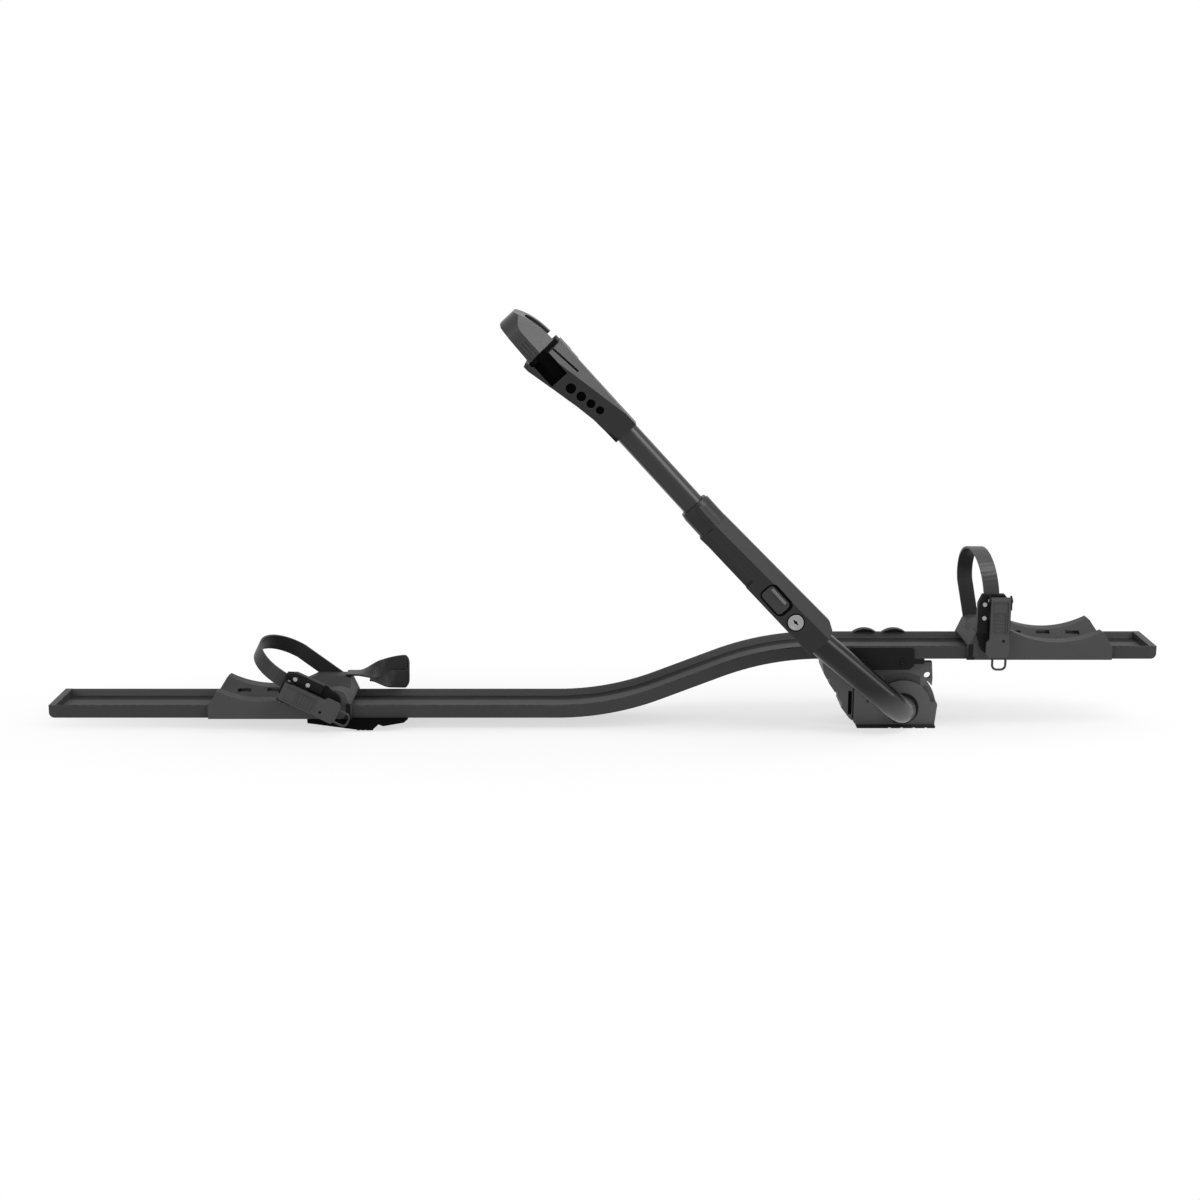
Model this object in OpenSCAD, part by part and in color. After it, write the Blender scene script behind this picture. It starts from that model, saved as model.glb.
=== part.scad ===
// Roof mounted bike carrier: a wheel rail on a pivot base, a telescopic arm with a frame clamp,
// two wheel cradles with ratchet straps, and a sliding rear foot.
// All sizes are in millimetres. X runs along the rail to the front, Y to the far side, Z up.
// The origin is the middle of the base's seat on the roof bar.

/* [Rail] */
// Rear end of the rail with its cap
rail_rear_x = -1114; // [-1200:1:-1060]
// Front end of the rail with its cap
rail_front_x = 336; // [325:1:400]
// Width over the side walls
rail_width = 84; // [84:0.5:86]
// Height of the side walls
rail_height = 17; // [17:0.5:18]
// Thickness of a side wall
rail_wall = 3.4; // [2.8:0.2:3.4]
// Height of the wheel channel's floor above the underside
rail_floor = 8; // [8:0.1:8.4]
// Thickness of the channel floor
rail_floor_thick = 2; // [1.6:0.1:2]
// Height of the underside over the rear roof bar
rail_seat_z = 15.5; // [15.5:0.5:18]
// Rise of the rail from the rear to the front
rail_rise = 80; // [80:1:84]
// Steepest slope of the bend in degrees
bend_angle = 21; // [20:0.5:23]
// Radius of both bends
bend_radius = 370; // [330:5:380]
// Place where the bend starts
bend_start_x = -446; // [-452:1:-444]
// Opening of the slot under the rail
slot_width = 9; // [8.6:0.2:9.4]
// Inner width of the slot under the rail
slot_inner = 19; // [18.6:0.2:20]
// Thickness of the slot's lips
slot_lip = 1.8; // [1.6:0.1:2]
// Thickness of an end cap
cap_thick = 9; // [7:0.5:12]
// Rounding of an end cap's lower edge
cap_round = 7; // [5:0.5:9]
// Length of the tongues that hold an end cap
cap_tongue = 16; // [10:1:24]

/* [Base] */
// Near face of the base
base_near_y = -31; // [-31:0.5:-30]
// Far face of the base
base_far_y = 34; // [32:1:38]
// Thickness of the rubber pad under the base
pad_thick = 3; // [2.5:0.5:4]
// Thickness of the saddle plate under the rail
saddle_thick = 7; // [6:0.5:8]
// Place of the arm's pivot along the rail
pivot_x = 9; // [8:0.5:10]
// Height of the arm's pivot
pivot_z = 25; // [25:0.5:26]
// Wall of the pivot bushes
bush_wall = 2.5; // [2:0.25:3]
// Radius of the round hub on the near face
hub_radius = 38; // [36:0.5:39]
// Depth of the groove round the hub
hub_groove_depth = 9; // [6:0.5:12]
// Radius of the bolt holes for the roof bar
bolt_hole_r = 3.4; // [3.2:0.1:3.6]
// Spacing of the bolt holes across the rail
bolt_spacing = 36; // [32:1:40]
// Place of the bolt holes along the rail
bolt_x = -32; // [-34:1:-28]
// Depth of the bolt holes
bolt_depth = 34; // [26:1:40]
// Radius of the cable eyelet
eyelet_r = 4.6; // [4:0.1:4.8]

/* [Arm] */
// Plane of the arm on the near side of the rail
arm_y = -68; // [-69:0.5:-68]
// Outer diameter of the lower tube
lower_od = 34; // [34:0.1:34.4]
// Outer diameter of the upper tube
upper_od = 30; // [29.6:0.1:30]
// Wall of the upper tube
upper_wall = 2; // [1.5:0.1:3]
// Radius of the lower tube's bend into the base
tube_bend = 36; // [35.5:0.5:37]
// Slope of the lower leg in degrees
leg_angle = 40.7; // [40:0.1:41.5]
// Length of the lower leg from pivot to knee
leg_length = 162; // [160:1:168]
// Slope of the upper arm in degrees
arm_angle = 47.6; // [47:0.1:48.4]
// Upper end of the grip sleeve above the knee
sleeve_top = 197; // [194:1:200]
// Upper end of the sleeve's collar above the knee
collar_top = 234; // [228:1:240]
// Half thickness of the sleeve across the rail
sleeve_half = 22; // [21.5:0.25:23]
// Lower end of the head above the knee
head_low = 361; // [358:1:364]
// Upper end of the head above the knee
head_top = 506; // [504:1:508]
// Depth of the upper tube inside the head
head_socket = 36; // [30:1:38]
// Lower end of the upper tube above the knee
upper_low = 120; // [112:1:130]
// Radius of the lock barrel
lock_r = 7.2; // [6.4:0.2:7.4]
// Length of the release button
button_length = 36; // [32:1:38]
// Width of the release button
button_width = 20; // [18:0.5:21]

/* [Cradles] */
// Front cradle's wheel seat along the rail
front_seat_x = 205; // [202:1:210]
// Rear cradle's wheel seat along the rail
rear_seat_x = -832; // [-840:1:-826]
// Half width of a cradle
cradle_half = 48; // [47.5:0.25:48]
// Radius of the seat's side scallop
scallop_r = 127; // [120:1:140]
// Tyre width that the trough takes
tyre_width = 72; // [68:1:74]
// Outer diameter of the wheel
wheel_diameter = 680; // [660:5:720]
// Width of a strap
strap_width = 20; // [18:0.5:21]
// Thickness of a strap
strap_thick = 2.6; // [2.2:0.1:2.7]
// Pitch of the strap's teeth
strap_pitch = 6; // [5:0.5:8]
// Lean of the rear strap and buckle in degrees
rear_lean = 64; // [60:1:66]

/* [Rear foot] */
// Middle of the rear foot along the rail
foot_x = -692; // [-696:1:-688]
// Half width of the foot on the bar
foot_half = 56; // [50:1:58]

/* [Fits] */
// Gap between pieces that slide on each other
slide_gap = 0.5; // [0.45:0.05:0.6]
// Radial gap of a turning pin
pin_gap = 0.05; // [0.04:0.01:0.08]
// Gap between fixed pieces
fixed_gap = 0.05; // [0.02:0.01:0.08]

/* [Hidden] */
$fn = 64;
hair = 0.01;
half_rail = rail_width / 2;
rail_front_z = rail_seat_z + rail_rise;
bend_rise = 2 * bend_radius * (1 - cos(bend_angle));
slope_length = (rail_rise - bend_rise) / sin(bend_angle);
bend_end_x = bend_start_x + 2 * bend_radius * sin(bend_angle) + slope_length * cos(bend_angle);
low_centre = [bend_start_x, rail_seat_z + rail_height / 2 + bend_radius];
high_centre = [bend_end_x, rail_front_z + rail_height / 2 - bend_radius];
bend_steps = 14;
lower_id = upper_od + 2 * pin_gap;
knee_turn = arm_angle - leg_angle;
knee_swell = 0.6;
knee_x = pivot_x - leg_length * cos(leg_angle);
knee_z = pivot_z + leg_length * sin(leg_angle);
lower_top = collar_top - 6;
base_top_z = rail_front_z - saddle_thick;
bush_r = lower_od / 2 + pin_gap + bush_wall;
foot_gap = 0.3;
journal_end = base_far_y - 2;

// Shared shapes

// A box from its lower and upper corner.
module block(low, high) {
    translate(low)
        cube(high - low);
}

// A bar along Y from one plane to another.
module bar_y(r, y0, y1) {
    translate([0, y1, 0])
        rotate([90, 0, 0])
            cylinder(h = y1 - y0, r = r);
}

// A bar along X from one plane to another.
module bar_x(r, x0, x1) {
    translate([x0, 0, 0])
        rotate([0, 90, 0])
            cylinder(h = x1 - x0, r = r);
}

// A side outline in X and Z, given its thickness from y0 to y1.
module plate_y(y0, y1) {
    translate([0, y1, 0])
        rotate([90, 0, 0])
            linear_extrude(height = y1 - y0)
                children();
}

// A section in Y and Z, drawn out along X from x0 to x1.
module drawn_x(x0, x1) {
    translate([x0, 0, 0])
        rotate([90, 0, 90])
            linear_extrude(height = x1 - x0)
                children();
}

// A flat ring.
module ring(outer, inner) {
    difference() {
        circle(r = outer);
        circle(r = inner);
    }
}

// Rail

// Points of a round stretch of the rail's side outline.
function bend_arc(centre, radius, from, to) =
    [for (i = [0:bend_steps])
        let (angle = from + (to - from) * i / bend_steps)
        centre + radius * [cos(angle), sin(angle)]];

// The rail's line from rear to front, at a height above its underside.
function rail_path(height) = concat(
    [[rail_rear_x + cap_thick, rail_seat_z + height]],
    bend_arc(low_centre, bend_radius + rail_height / 2 - height, -90, bend_angle - 90),
    bend_arc(high_centre, bend_radius - rail_height / 2 + height, 90 + bend_angle, 90),
    [[rail_front_x - cap_thick, rail_front_z + height]]);

function reversed(list) = [for (i = [len(list) - 1 : -1 : 0]) list[i]];

// A strip of the rail between two heights and between two planes across it.
module rail_strip(low, high, y0, y1) {
    plate_y(y0, y1)
        polygon(concat(rail_path(low), reversed(rail_path(high))));
}

module rail() {
    rim = 0.8;
    web = 1.8;
    flange = 10;
    wall_in = half_rail - rail_wall;
    color("#47494c") {
        rail_strip(rail_floor - rail_floor_thick, rail_floor, -half_rail + rim, half_rail - rim);
        for (side = [0, 1])
            mirror([0, side, 0]) {
                // Side wall with a slimmer rim, the flange under it, and one side of the slot.
                rail_strip(0, rail_height - rim, wall_in, half_rail);
                rail_strip(rail_height / 2, rail_height, wall_in + rim, half_rail - rim);
                rail_strip(0, slot_lip, half_rail - flange, half_rail - rim);
                rail_strip(0, rail_floor - hair, slot_inner / 2, slot_inner / 2 + web);
                rail_strip(0, slot_lip, slot_width / 2, slot_inner / 2 + web / 2);
            }
    }
}

// A cap that closes the rail's end facing minus X: its lower edge is rounded, and tongues reach into the rail.
module end_cap() {
    tongue_gap = 0.3;
    tongue_low = slot_lip + tongue_gap;
    tongue_high = rail_floor - rail_floor_thick - tongue_gap;
    tongue_y0 = slot_inner / 2 + 3;
    tongue_y1 = half_rail - rail_wall - 1;
    color("#44464a") {
        plate_y(-half_rail, half_rail)
            intersection() {
                square([cap_thick, rail_height]);
                union() {
                    translate([cap_round, cap_round])
                        circle(r = cap_round);
                    translate([cap_round, 0])
                        square([cap_thick, rail_height]);
                    translate([0, cap_round])
                        square([cap_thick, rail_height]);
                }
            }
        for (side = [-1, 1]) {
            y0 = side > 0 ? tongue_y0 : -tongue_y1;
            block([cap_thick - 1, y0, tongue_low],
                  [cap_thick + cap_tongue, y0 + tongue_y1 - tongue_y0, tongue_high]);
        }
    }
}

module rear_end_cap() {
    translate([rail_rear_x, 0, rail_seat_z])
        end_cap();
}

module front_end_cap() {
    translate([rail_front_x, 0, rail_front_z])
        mirror([1, 0, 0])
            end_cap();
}

// Base

base_foot_rear = 51;
base_foot_front = 52;
pad_half = 38;
pad_groove = 3;
pad_groove_x = -8;
pad_groove_pitch = 16;

// Side outline of the whole base: up the front to the eyelet lug, and down the cover's sloped back.
module base_outline() {
    hip = [55, 30];
    waist = [46.5, 53];
    lug_front = 47.5;
    brow = 97;
    brow_z = 82;
    heel = 71;
    heel_z = 25;
    polygon([
        [-base_foot_rear, pad_thick], [base_foot_front, pad_thick], hip, [waist[0] + 3.5, waist[1] - 7], waist,
        [lug_front, waist[1] + 13], [lug_front - 1.5, base_top_z], [-brow, base_top_z], [-brow, brow_z],
        [2 - brow, brow_z - 11], [9 - brow, brow_z - 24], [0.5 - heel, heel_z + 7], [-heel, heel_z],
        [10.5 - heel, heel_z - 14]
    ]);
}

cover_seam_x = -55;
cover_screw_y = 2;
cover_screw_z = [24, 64];
cover_screw_r = 2.1;
cover_head_r = 3.8;
cover_head = 3;
base_screw_x = [-44, 28];
base_screw_r = 2.6;
base_head_r = 5.2;
base_screw_depth = 18;
head_room = 0.4;

module base_housing() {
    near = base_near_y;
    far = base_far_y;
    neck_x = 33;
    neck_z = 53;
    lug_far = near + 9;
    eyelet = [40.5, 70];
    groove_r = hub_radius + 11;
    groove_low = 8;
    sunk_r = 21.1;
    sunk_near = 3;
    sunk_far = 5;
    pocket = 18;
    pocket_low = 60;
    pocket_depth = 22;
    past = 90;
    color("#4b4d50")
        difference() {
            intersection() {
                plate_y(near, far)
                    base_outline();
                block([cover_seam_x, near, 0], [past, far, base_top_z]);
            }
            // The body stands back behind the eyelet lug.
            block([neck_x, lug_far, neck_z], [past, far + 1, base_top_z + 1]);
            translate([eyelet[0], 0, eyelet[1]])
                bar_y(eyelet_r, near - 1, lug_far + 1);
            // The groove round the hub and the sunk collar round the tube.
            translate([pivot_x, 0, pivot_z]) {
                difference() {
                    bar_y(groove_r, near - 1, near + hub_groove_depth);
                    bar_y(hub_radius, near - 2, near + hub_groove_depth + 1);
                    block([-past, near - 2, -past], [past, near + hub_groove_depth + 1, groove_low]);
                }
                bar_y(sunk_r, near - 1, near + sunk_near);
                bar_y(bush_r, near - 1, far + 1);
                bar_y(sunk_r, far - sunk_far, far + 1);
            }
            for (side = [-1, 1])
                translate([bolt_x, side * bolt_spacing / 2, -1])
                    cylinder(r = bolt_hole_r, h = bolt_depth + 1);
            for (z = cover_screw_z)
                translate([0, cover_screw_y, z])
                    bar_x(cover_screw_r, cover_seam_x - 1, cover_seam_x + 4 * cover_head);
            for (x = base_screw_x)
                translate([x, 0, base_top_z - base_screw_depth - 4])
                    cylinder(r = base_screw_r, h = base_screw_depth + 5);
            // Weight-saving pockets in the far face, with ribs between them.
            for (x = [-38, -14])
                block([x - pocket / 2, far - pocket_depth, pocket_low],
                      [x + pocket / 2, far + 1, pocket_low + 20]);
        }
}

module base_side_cover() {
    inset = 3;
    near = base_near_y + inset;
    far = base_far_y - inset;
    wall = 4;
    seam = 1.2;
    past = -120;
    notch_r = 3;
    notch_slope = 0.62;
    rib = 4;
    color("#3d3f42")
        difference() {
            intersection() {
                plate_y(near, far)
                    base_outline();
                block([past, near, 0], [cover_seam_x - seam, far, base_top_z - 2]);
            }
            // The shell is hollow on its inner side.
            intersection() {
                translate([1.5 * wall, 0, wall])
                    plate_y(near + wall, far - wall)
                        base_outline();
                block([past, near + wall, 44], [cover_seam_x - wall - 1, far - wall, 80]);
            }
            for (z = cover_screw_z)
                translate([0, cover_screw_y, z]) {
                    bar_x(cover_screw_r + 0.2, past, cover_seam_x + 2);
                    bar_x(cover_head_r + head_room, past, cover_seam_x - 2 * cover_head);
                }
            // Finger notches on the sloped face.
            for (z = [44, 62])
                translate([-64 - (z - 20) * notch_slope, 0, z])
                    bar_y(notch_r, near - 1, far + 1);
        }
    // A spacer rib closes the seam to the housing.
    color("#3d3f42")
        for (y = [near + rib + 2, far - 2 * rib - 2])
            block([cover_seam_x - seam - 0.1, y, 2 * rib], [cover_seam_x, y + rib, base_top_z - rib - 0.5]);
}

module cover_screws() {
    color("#8b8e92")
        for (z = cover_screw_z)
            translate([0, cover_screw_y, z]) {
                bar_x(cover_screw_r - fixed_gap, cover_seam_x - 2 * cover_head - 1,
                      cover_seam_x + 4 * cover_head - 1);
                bar_x(cover_head_r, cover_seam_x - 3 * cover_head, cover_seam_x - 2 * cover_head - fixed_gap);
            }
}

module base_pad() {
    color("#19191a")
        difference() {
            block([-base_foot_rear, -pad_half, 0], [base_foot_front, pad_half, pad_thick]);
            for (side = [-1, 1])
                translate([bolt_x, side * bolt_spacing / 2, -1])
                    cylinder(r = bolt_hole_r + 1, h = pad_thick + 2);
            for (step = [0:3])
                translate([pad_groove_x + step * pad_groove_pitch, 0, 0])
                    block([-pad_groove / 2, -pad_half - 1, -1], [pad_groove / 2, pad_half + 1, pad_groove / 3]);
        }
}

// One flanged bush, its flange on the minus Y side.
module flanged_bush(y0, y1) {
    flange_r = 20.8;
    difference() {
        union() {
            bar_y(bush_r - fixed_gap, y0, y1);
            bar_y(flange_r, y0, y0 + 2.5);
        }
        bar_y(lower_od / 2 + pin_gap, y0 - 1, y1 + 1);
    }
}

module pivot_bushes() {
    color("#202123")
        translate([pivot_x, 0, pivot_z]) {
            flanged_bush(base_near_y + 0.4, base_near_y + 24);
            mirror([0, 1, 0])
                flanged_bush(-base_far_y + 2.45, -base_far_y + 24);
        }
}

// Rail saddle and clamp

saddle_x0 = -64;
saddle_x1 = 34;
lobe_x = [-34, 5.5];
clamp_screw_x = [-48, 6];
clamp_screw_r = 2;
clamp_screw_in = 20;
clamp_head_r = 4;
cheek_near = 3.4;
cheek_far = 4.6;

module rail_saddle() {
    inner = half_rail + fixed_gap;
    outer = half_rail + cheek_far;
    rim_z = rail_front_z + rail_height;
    lobe_r = 26;
    lobe_sink = 21.5;
    lobe_half = 16;
    hook_in = 6;
    color("#232426")
        difference() {
            union() {
                block([saddle_x0, -half_rail, base_top_z], [saddle_x1, outer, rail_front_z - fixed_gap]);
                block([saddle_x0, inner, base_top_z], [saddle_x1, outer, rim_z - 8]);
                // Two round lobes stand up behind the far rim and hook over it.
                for (x = lobe_x)
                    translate([x, 0, rim_z - lobe_sink])
                        intersection() {
                            bar_y(lobe_r, half_rail - hook_in, outer);
                            union() {
                                block([-lobe_half, inner, 0], [lobe_half, outer, lobe_r]);
                                block([-lobe_half, half_rail - hook_in, lobe_sink + fixed_gap],
                                      [lobe_half, outer, lobe_r]);
                            }
                        }
            }
            for (x = base_screw_x)
                translate([x, 0, base_top_z - 1]) {
                    cylinder(r = base_screw_r + head_room, h = saddle_thick + 2);
                    translate([0, 0, 3])
                        cylinder(r = base_head_r + head_room, h = saddle_thick);
                }
            for (x = clamp_screw_x)
                translate([x, 0, rail_front_z - saddle_thick / 2])
                    bar_y(clamp_screw_r, -half_rail - 1, -half_rail + clamp_screw_in);
        }
}

module saddle_clamp() {
    face = half_rail + fixed_gap;
    outer = half_rail + cheek_near;
    front = 20;
    low = base_top_z - 7;
    top = rail_front_z + rail_height - 1;
    corner = 4;
    color("#1d1e20")
        difference() {
            plate_y(-outer, -face)
                polygon([
                    [saddle_x0, low + corner + 1], [saddle_x0 + corner + 2, low], [front - corner - 2, low],
                    [front, low + corner + 1], [front, top - corner], [front - corner, top],
                    [saddle_x0 + corner, top], [saddle_x0, top - corner]
                ]);
            for (x = clamp_screw_x)
                translate([x, 0, rail_front_z - saddle_thick / 2])
                    bar_y(clamp_screw_r + 0.3, -outer - 1, -face + 1);
        }
}

module saddle_screws() {
    face = -half_rail - cheek_near - fixed_gap;
    color("#7f8286")
        for (x = clamp_screw_x)
            translate([x, 0, rail_front_z - saddle_thick / 2])
                difference() {
                    union() {
                        bar_y(clamp_head_r, face - 2, face);
                        bar_y(clamp_screw_r - fixed_gap, face - 1, clamp_screw_in - 2 - half_rail);
                    }
                    rotate([90, 0, 0])
                        translate([0, 0, -face + 0.8])
                            cylinder(r = clamp_head_r / 2, h = 4, $fn = 6);
                }
}

module base_screws() {
    color("#7f8286")
        for (x = base_screw_x)
            translate([x, 0, 0])
                difference() {
                    union() {
                        translate([0, 0, base_top_z - base_screw_depth])
                            cylinder(r = base_screw_r - fixed_gap, h = base_screw_depth + 3);
                        translate([0, 0, base_top_z + 2 + fixed_gap])
                            cylinder(r = base_head_r, h = 3);
                    }
                    translate([0, 0, base_top_z + 3.4])
                        cylinder(r = base_head_r / 2 - 0.2, h = 4, $fn = 6);
                }
}

// Arm

// The leg's own axes: Z runs from the pivot to the knee.
module on_leg() {
    translate([pivot_x, 0, pivot_z])
        rotate([0, leg_angle - 90, 0])
            children();
}

// The upper arm's own axes: Z runs from the knee to the head, X is across the arm, upwards.
module on_arm() {
    translate([knee_x, 0, knee_z])
        rotate([0, arm_angle - 90, 0])
            children();
}

// An outline across and along the arm, given its thickness from y0 to y1.
module arm_plate(y0, y1) {
    on_arm()
        plate_y(y0, y1)
            children();
}

// The lower tube's path as a solid bar: journal, bend, leg and the part inside the sleeve.
// A slightly larger ball joins the leg and the upper part at the knee.
module lower_bar(r, past) {
    turn_y = arm_y + tube_bend;
    on_leg() {
        bar_y(r, turn_y, journal_end + past);
        translate([0, turn_y, tube_bend])
            rotate([0, 90, 180])
                rotate_extrude(angle = 90)
                    translate([tube_bend, 0])
                        circle(r = r);
        translate([0, arm_y, tube_bend])
            cylinder(r = r, h = leg_length - tube_bend);
    }
    on_arm()
        translate([0, arm_y, 0]) {
            sphere(r = r + knee_swell);
            cylinder(r = r, h = lower_top + past);
        }
}

module lower_tube() {
    color("#3a3c3f")
        difference() {
            lower_bar(lower_od / 2, 0);
            lower_bar(lower_id / 2, 1);
        }
}

module pivot_washer() {
    color("#9a9da1")
        translate([pivot_x, 0, pivot_z])
            difference() {
                bar_y(21, journal_end + fixed_gap, journal_end + 2.5);
                bar_y(4.2, journal_end - 1, journal_end + 4);
            }
}

// The bolt that holds the washer, with the plug that it is screwed into inside the tube.
module pivot_bolt() {
    color("#8b8e92")
        translate([pivot_x, 0, pivot_z])
            difference() {
                union() {
                    bar_y(4, journal_end - 20, journal_end + 3);
                    bar_y(lower_id / 2 - fixed_gap, journal_end - 24, journal_end - 6);
                    bar_y(7, journal_end + 2.5 + fixed_gap, journal_end + 6.5);
                }
                translate([0, journal_end + 8, 0])
                    rotate([90, 0, 0])
                        cylinder(r = 3.4, h = 4.5, $fn = 6);
            }
}

// Outline of the grip sleeve across and along the arm.
module sleeve_outline() {
    polygon([
        [-18, -9], [16, -10], [24, -6], [29, 4], [21, sleeve_top], [-22, sleeve_top], [-21, sleeve_top - 16]
    ]);
}

sleeve_bevel = 11;
sleeve_ridge = 29;
sleeve_taper = 2.4;
sleeve_left = -21.5;
left_bevel = 3.5;
upper_bevel = 10;
upper_bevel_low = 112;
collar_r = 20.4;
button_place = [-2.7, 75.4];
button_dish = 2.2;
button_out = 1.6;
button_in = 1.2;
button_hollow = 1.1;
lock_place = [-3, 36];
sleeve_screw_place = [[21, 8], [20.5, 52], [20, 96]];
sleeve_screw_r = 1.5;
sleeve_head_r = 3;
sleeve_head_in = 13;
sleeve_past = 60;

// A square bar on its edge, along Z, that takes off a corner.
module edge_bevel(half, z0, z1) {
    rotate([0, 0, 45])
        block([-half, -half, z0], [half, half, z1]);
}

// The whole sleeve with its tube bore and bevelled long edges.
module sleeve_solid() {
    near = arm_y - sleeve_half;
    far = arm_y + sleeve_half;
    past = 30;
    on_arm()
        difference() {
            plate_y(near, far)
                sleeve_outline();
            translate([0, arm_y, 0]) {
                cylinder(r = lower_od / 2 + fixed_gap, h = sleeve_top + past);
                sphere(r = lower_od / 2 + knee_swell + 2 * fixed_gap);
                rotate([0, leg_angle - arm_angle, 0])
                    translate([0, 0, -2 * past])
                        cylinder(r = lower_od / 2 + fixed_gap, h = 2 * past);
            }
            for (y = [near, far]) {
                translate([sleeve_ridge, y, 0])
                    rotate([0, -sleeve_taper, 0])
                        edge_bevel(sleeve_bevel, -past, sleeve_top + past);
                translate([sleeve_left, y, 0]) {
                    edge_bevel(left_bevel, -past, sleeve_top + past);
                    edge_bevel(upper_bevel, upper_bevel_low, sleeve_top + past);
                }
            }
        }
}

// A rounded bar of the button's outline, along the arm.
module button_shape(grow, y0, y1) {
    corner = 5;
    half_w = button_width / 2 - corner;
    half_l = button_length / 2 - corner;
    on_arm()
        plate_y(y0, y1)
            translate(button_place) {
                for (a = [-1, 1], b = [-1, 1])
                    translate([a * half_w, b * half_l])
                        circle(r = corner + grow);
                square([2 * half_w, 2 * (half_l + corner + grow)], center = true);
                square([2 * (half_w + corner + grow), 2 * half_l], center = true);
            }
}

module sleeve_near() {
    near = arm_y - sleeve_half;
    color("#414346")
        difference() {
            intersection() {
                sleeve_solid();
                on_arm()
                    block([-sleeve_past, near - 1, -sleeve_past],
                          [sleeve_past, arm_y - fixed_gap, sleeve_top + sleeve_past]);
            }
            // Shaft and shoulder of the button, and the shallow dish round it.
            button_shape(slide_gap, near - 1, near + 4.4);
            button_shape(button_dish, near - 1, near + button_dish);
            on_arm()
                translate([lock_place[0], 0, lock_place[1]]) {
                    bar_y(10.2, near - 1, near + 1.4);
                    bar_y(8.6, near - 1, near + 4);
                }
            on_arm()
                for (p = sleeve_screw_place)
                    translate([p[0], 0, p[1]])
                        bar_y(sleeve_screw_r, arm_y - 10, arm_y + 1);
        }
}

module sleeve_far() {
    far = arm_y + sleeve_half;
    color("#414346")
        difference() {
            intersection() {
                sleeve_solid();
                on_arm()
                    block([-sleeve_past, arm_y + fixed_gap, -sleeve_past],
                          [sleeve_past, far + 1, sleeve_top + sleeve_past]);
            }
            on_arm()
                for (p = sleeve_screw_place)
                    translate([p[0], 0, p[1]]) {
                        bar_y(sleeve_screw_r + 0.3, arm_y - 1, far + 1);
                        bar_y(sleeve_head_r + head_room, far - sleeve_head_in, far + 1);
                    }
        }
}

module sleeve_screws() {
    far = arm_y + sleeve_half;
    color("#7f8286")
        on_arm()
            for (p = sleeve_screw_place)
                translate([p[0], 0, p[1]]) {
                    bar_y(sleeve_screw_r - fixed_gap, arm_y - 9, far - sleeve_head_in + 1);
                    bar_y(sleeve_head_r, far - sleeve_head_in + fixed_gap, far - sleeve_head_in + 3);
                }
}

// The round collar on the sleeve's end, with a strip on its upper side that goes on from the sleeve's.
module sleeve_collar() {
    nose = 8;
    nose_in = 1.4;
    ridge = sleeve_ridge - sleeve_top * tan(sleeve_taper);
    bevel_leg = sleeve_bevel * sqrt(2);
    low = sleeve_top + fixed_gap;
    color("#2a2b2e")
        on_arm()
            translate([0, arm_y, 0])
                difference() {
                    union() {
                        translate([0, 0, low])
                            cylinder(r = collar_r, h = collar_top - nose - low);
                        translate([0, 0, collar_top - nose])
                            cylinder(r1 = collar_r, r2 = collar_r - nose_in, h = nose);
                        translate([0, 0, low])
                            linear_extrude(height = collar_top - nose / 2 - low)
                                polygon([
                                    [0, -sleeve_half], [ridge - bevel_leg, -sleeve_half],
                                    [ridge, bevel_leg - sleeve_half], [ridge, sleeve_half - bevel_leg],
                                    [ridge - bevel_leg, sleeve_half], [0, sleeve_half]
                                ]);
                    }
                    translate([0, 0, sleeve_top - 1])
                        cylinder(r = lower_od / 2 + fixed_gap, h = lower_top + 0.2 - sleeve_top + 1);
                    translate([0, 0, sleeve_top - 1])
                        cylinder(r = upper_od / 2 + 0.3, h = 2 * (collar_top - sleeve_top));
                }
}

module lock_bezel() {
    near = arm_y - sleeve_half;
    color("#c9cbcd")
        on_arm()
            translate([lock_place[0], 0, lock_place[1]])
                difference() {
                    union() {
                        bar_y(10, near - 0.6, near + 1.4 - fixed_gap);
                        bar_y(8.5, near, near + 4 - fixed_gap);
                    }
                    bar_y(lock_r + pin_gap, near - 2, near + 5);
                }
}

module lock_barrel() {
    near = arm_y - sleeve_half;
    color("#b9bbbe")
        on_arm()
            translate([lock_place[0], 0, lock_place[1]])
                difference() {
                    bar_y(lock_r, near - 0.4, near + 3.6);
                    block([-1, near - 1, -4.2], [1, near + 2.4, 4.2]);
                    bar_y(2.1, near - 1, near + 2.4);
                }
}

module release_button() {
    near = arm_y - sleeve_half;
    half = button_length / 2 - button_out;
    hollow_r = (half * half + button_hollow * button_hollow) / (2 * button_hollow);
    color("#4a4c4f")
        difference() {
            button_shape(0, near - button_out, near + button_in);
            // The hollow for the thumb.
            on_arm()
                translate([button_place[0], near - button_out + button_hollow - hollow_r, button_place[1]])
                    bar_x(hollow_r, -button_width, button_width, $fn = 180);
        }
}

// A bowed leaf behind the button: it touches the button at its crown and the sleeve at its ends.
module button_spring() {
    near = arm_y - sleeve_half;
    floor_y = near + 4.4;
    crown_y = near + button_in + fixed_gap;
    leaf = 0.5;
    bow_half = 12;
    sag = floor_y - crown_y - leaf - fixed_gap;
    bow_r = (bow_half * bow_half + sag * sag) / (2 * sag);
    color("#a5a8ab")
        on_arm()
            translate([button_place[0] - 4, 0, button_place[1]])
                intersection() {
                    translate([0, crown_y + bow_r, 0])
                        rotate([0, 90, 0])
                            linear_extrude(height = 8)
                                difference() {
                                    circle(r = bow_r, $fn = 180);
                                    circle(r = bow_r - leaf, $fn = 180);
                                }
                    block([-1, near, -bow_half], [9, floor_y - fixed_gap, bow_half]);
                }
}

// Mast and head

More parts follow.
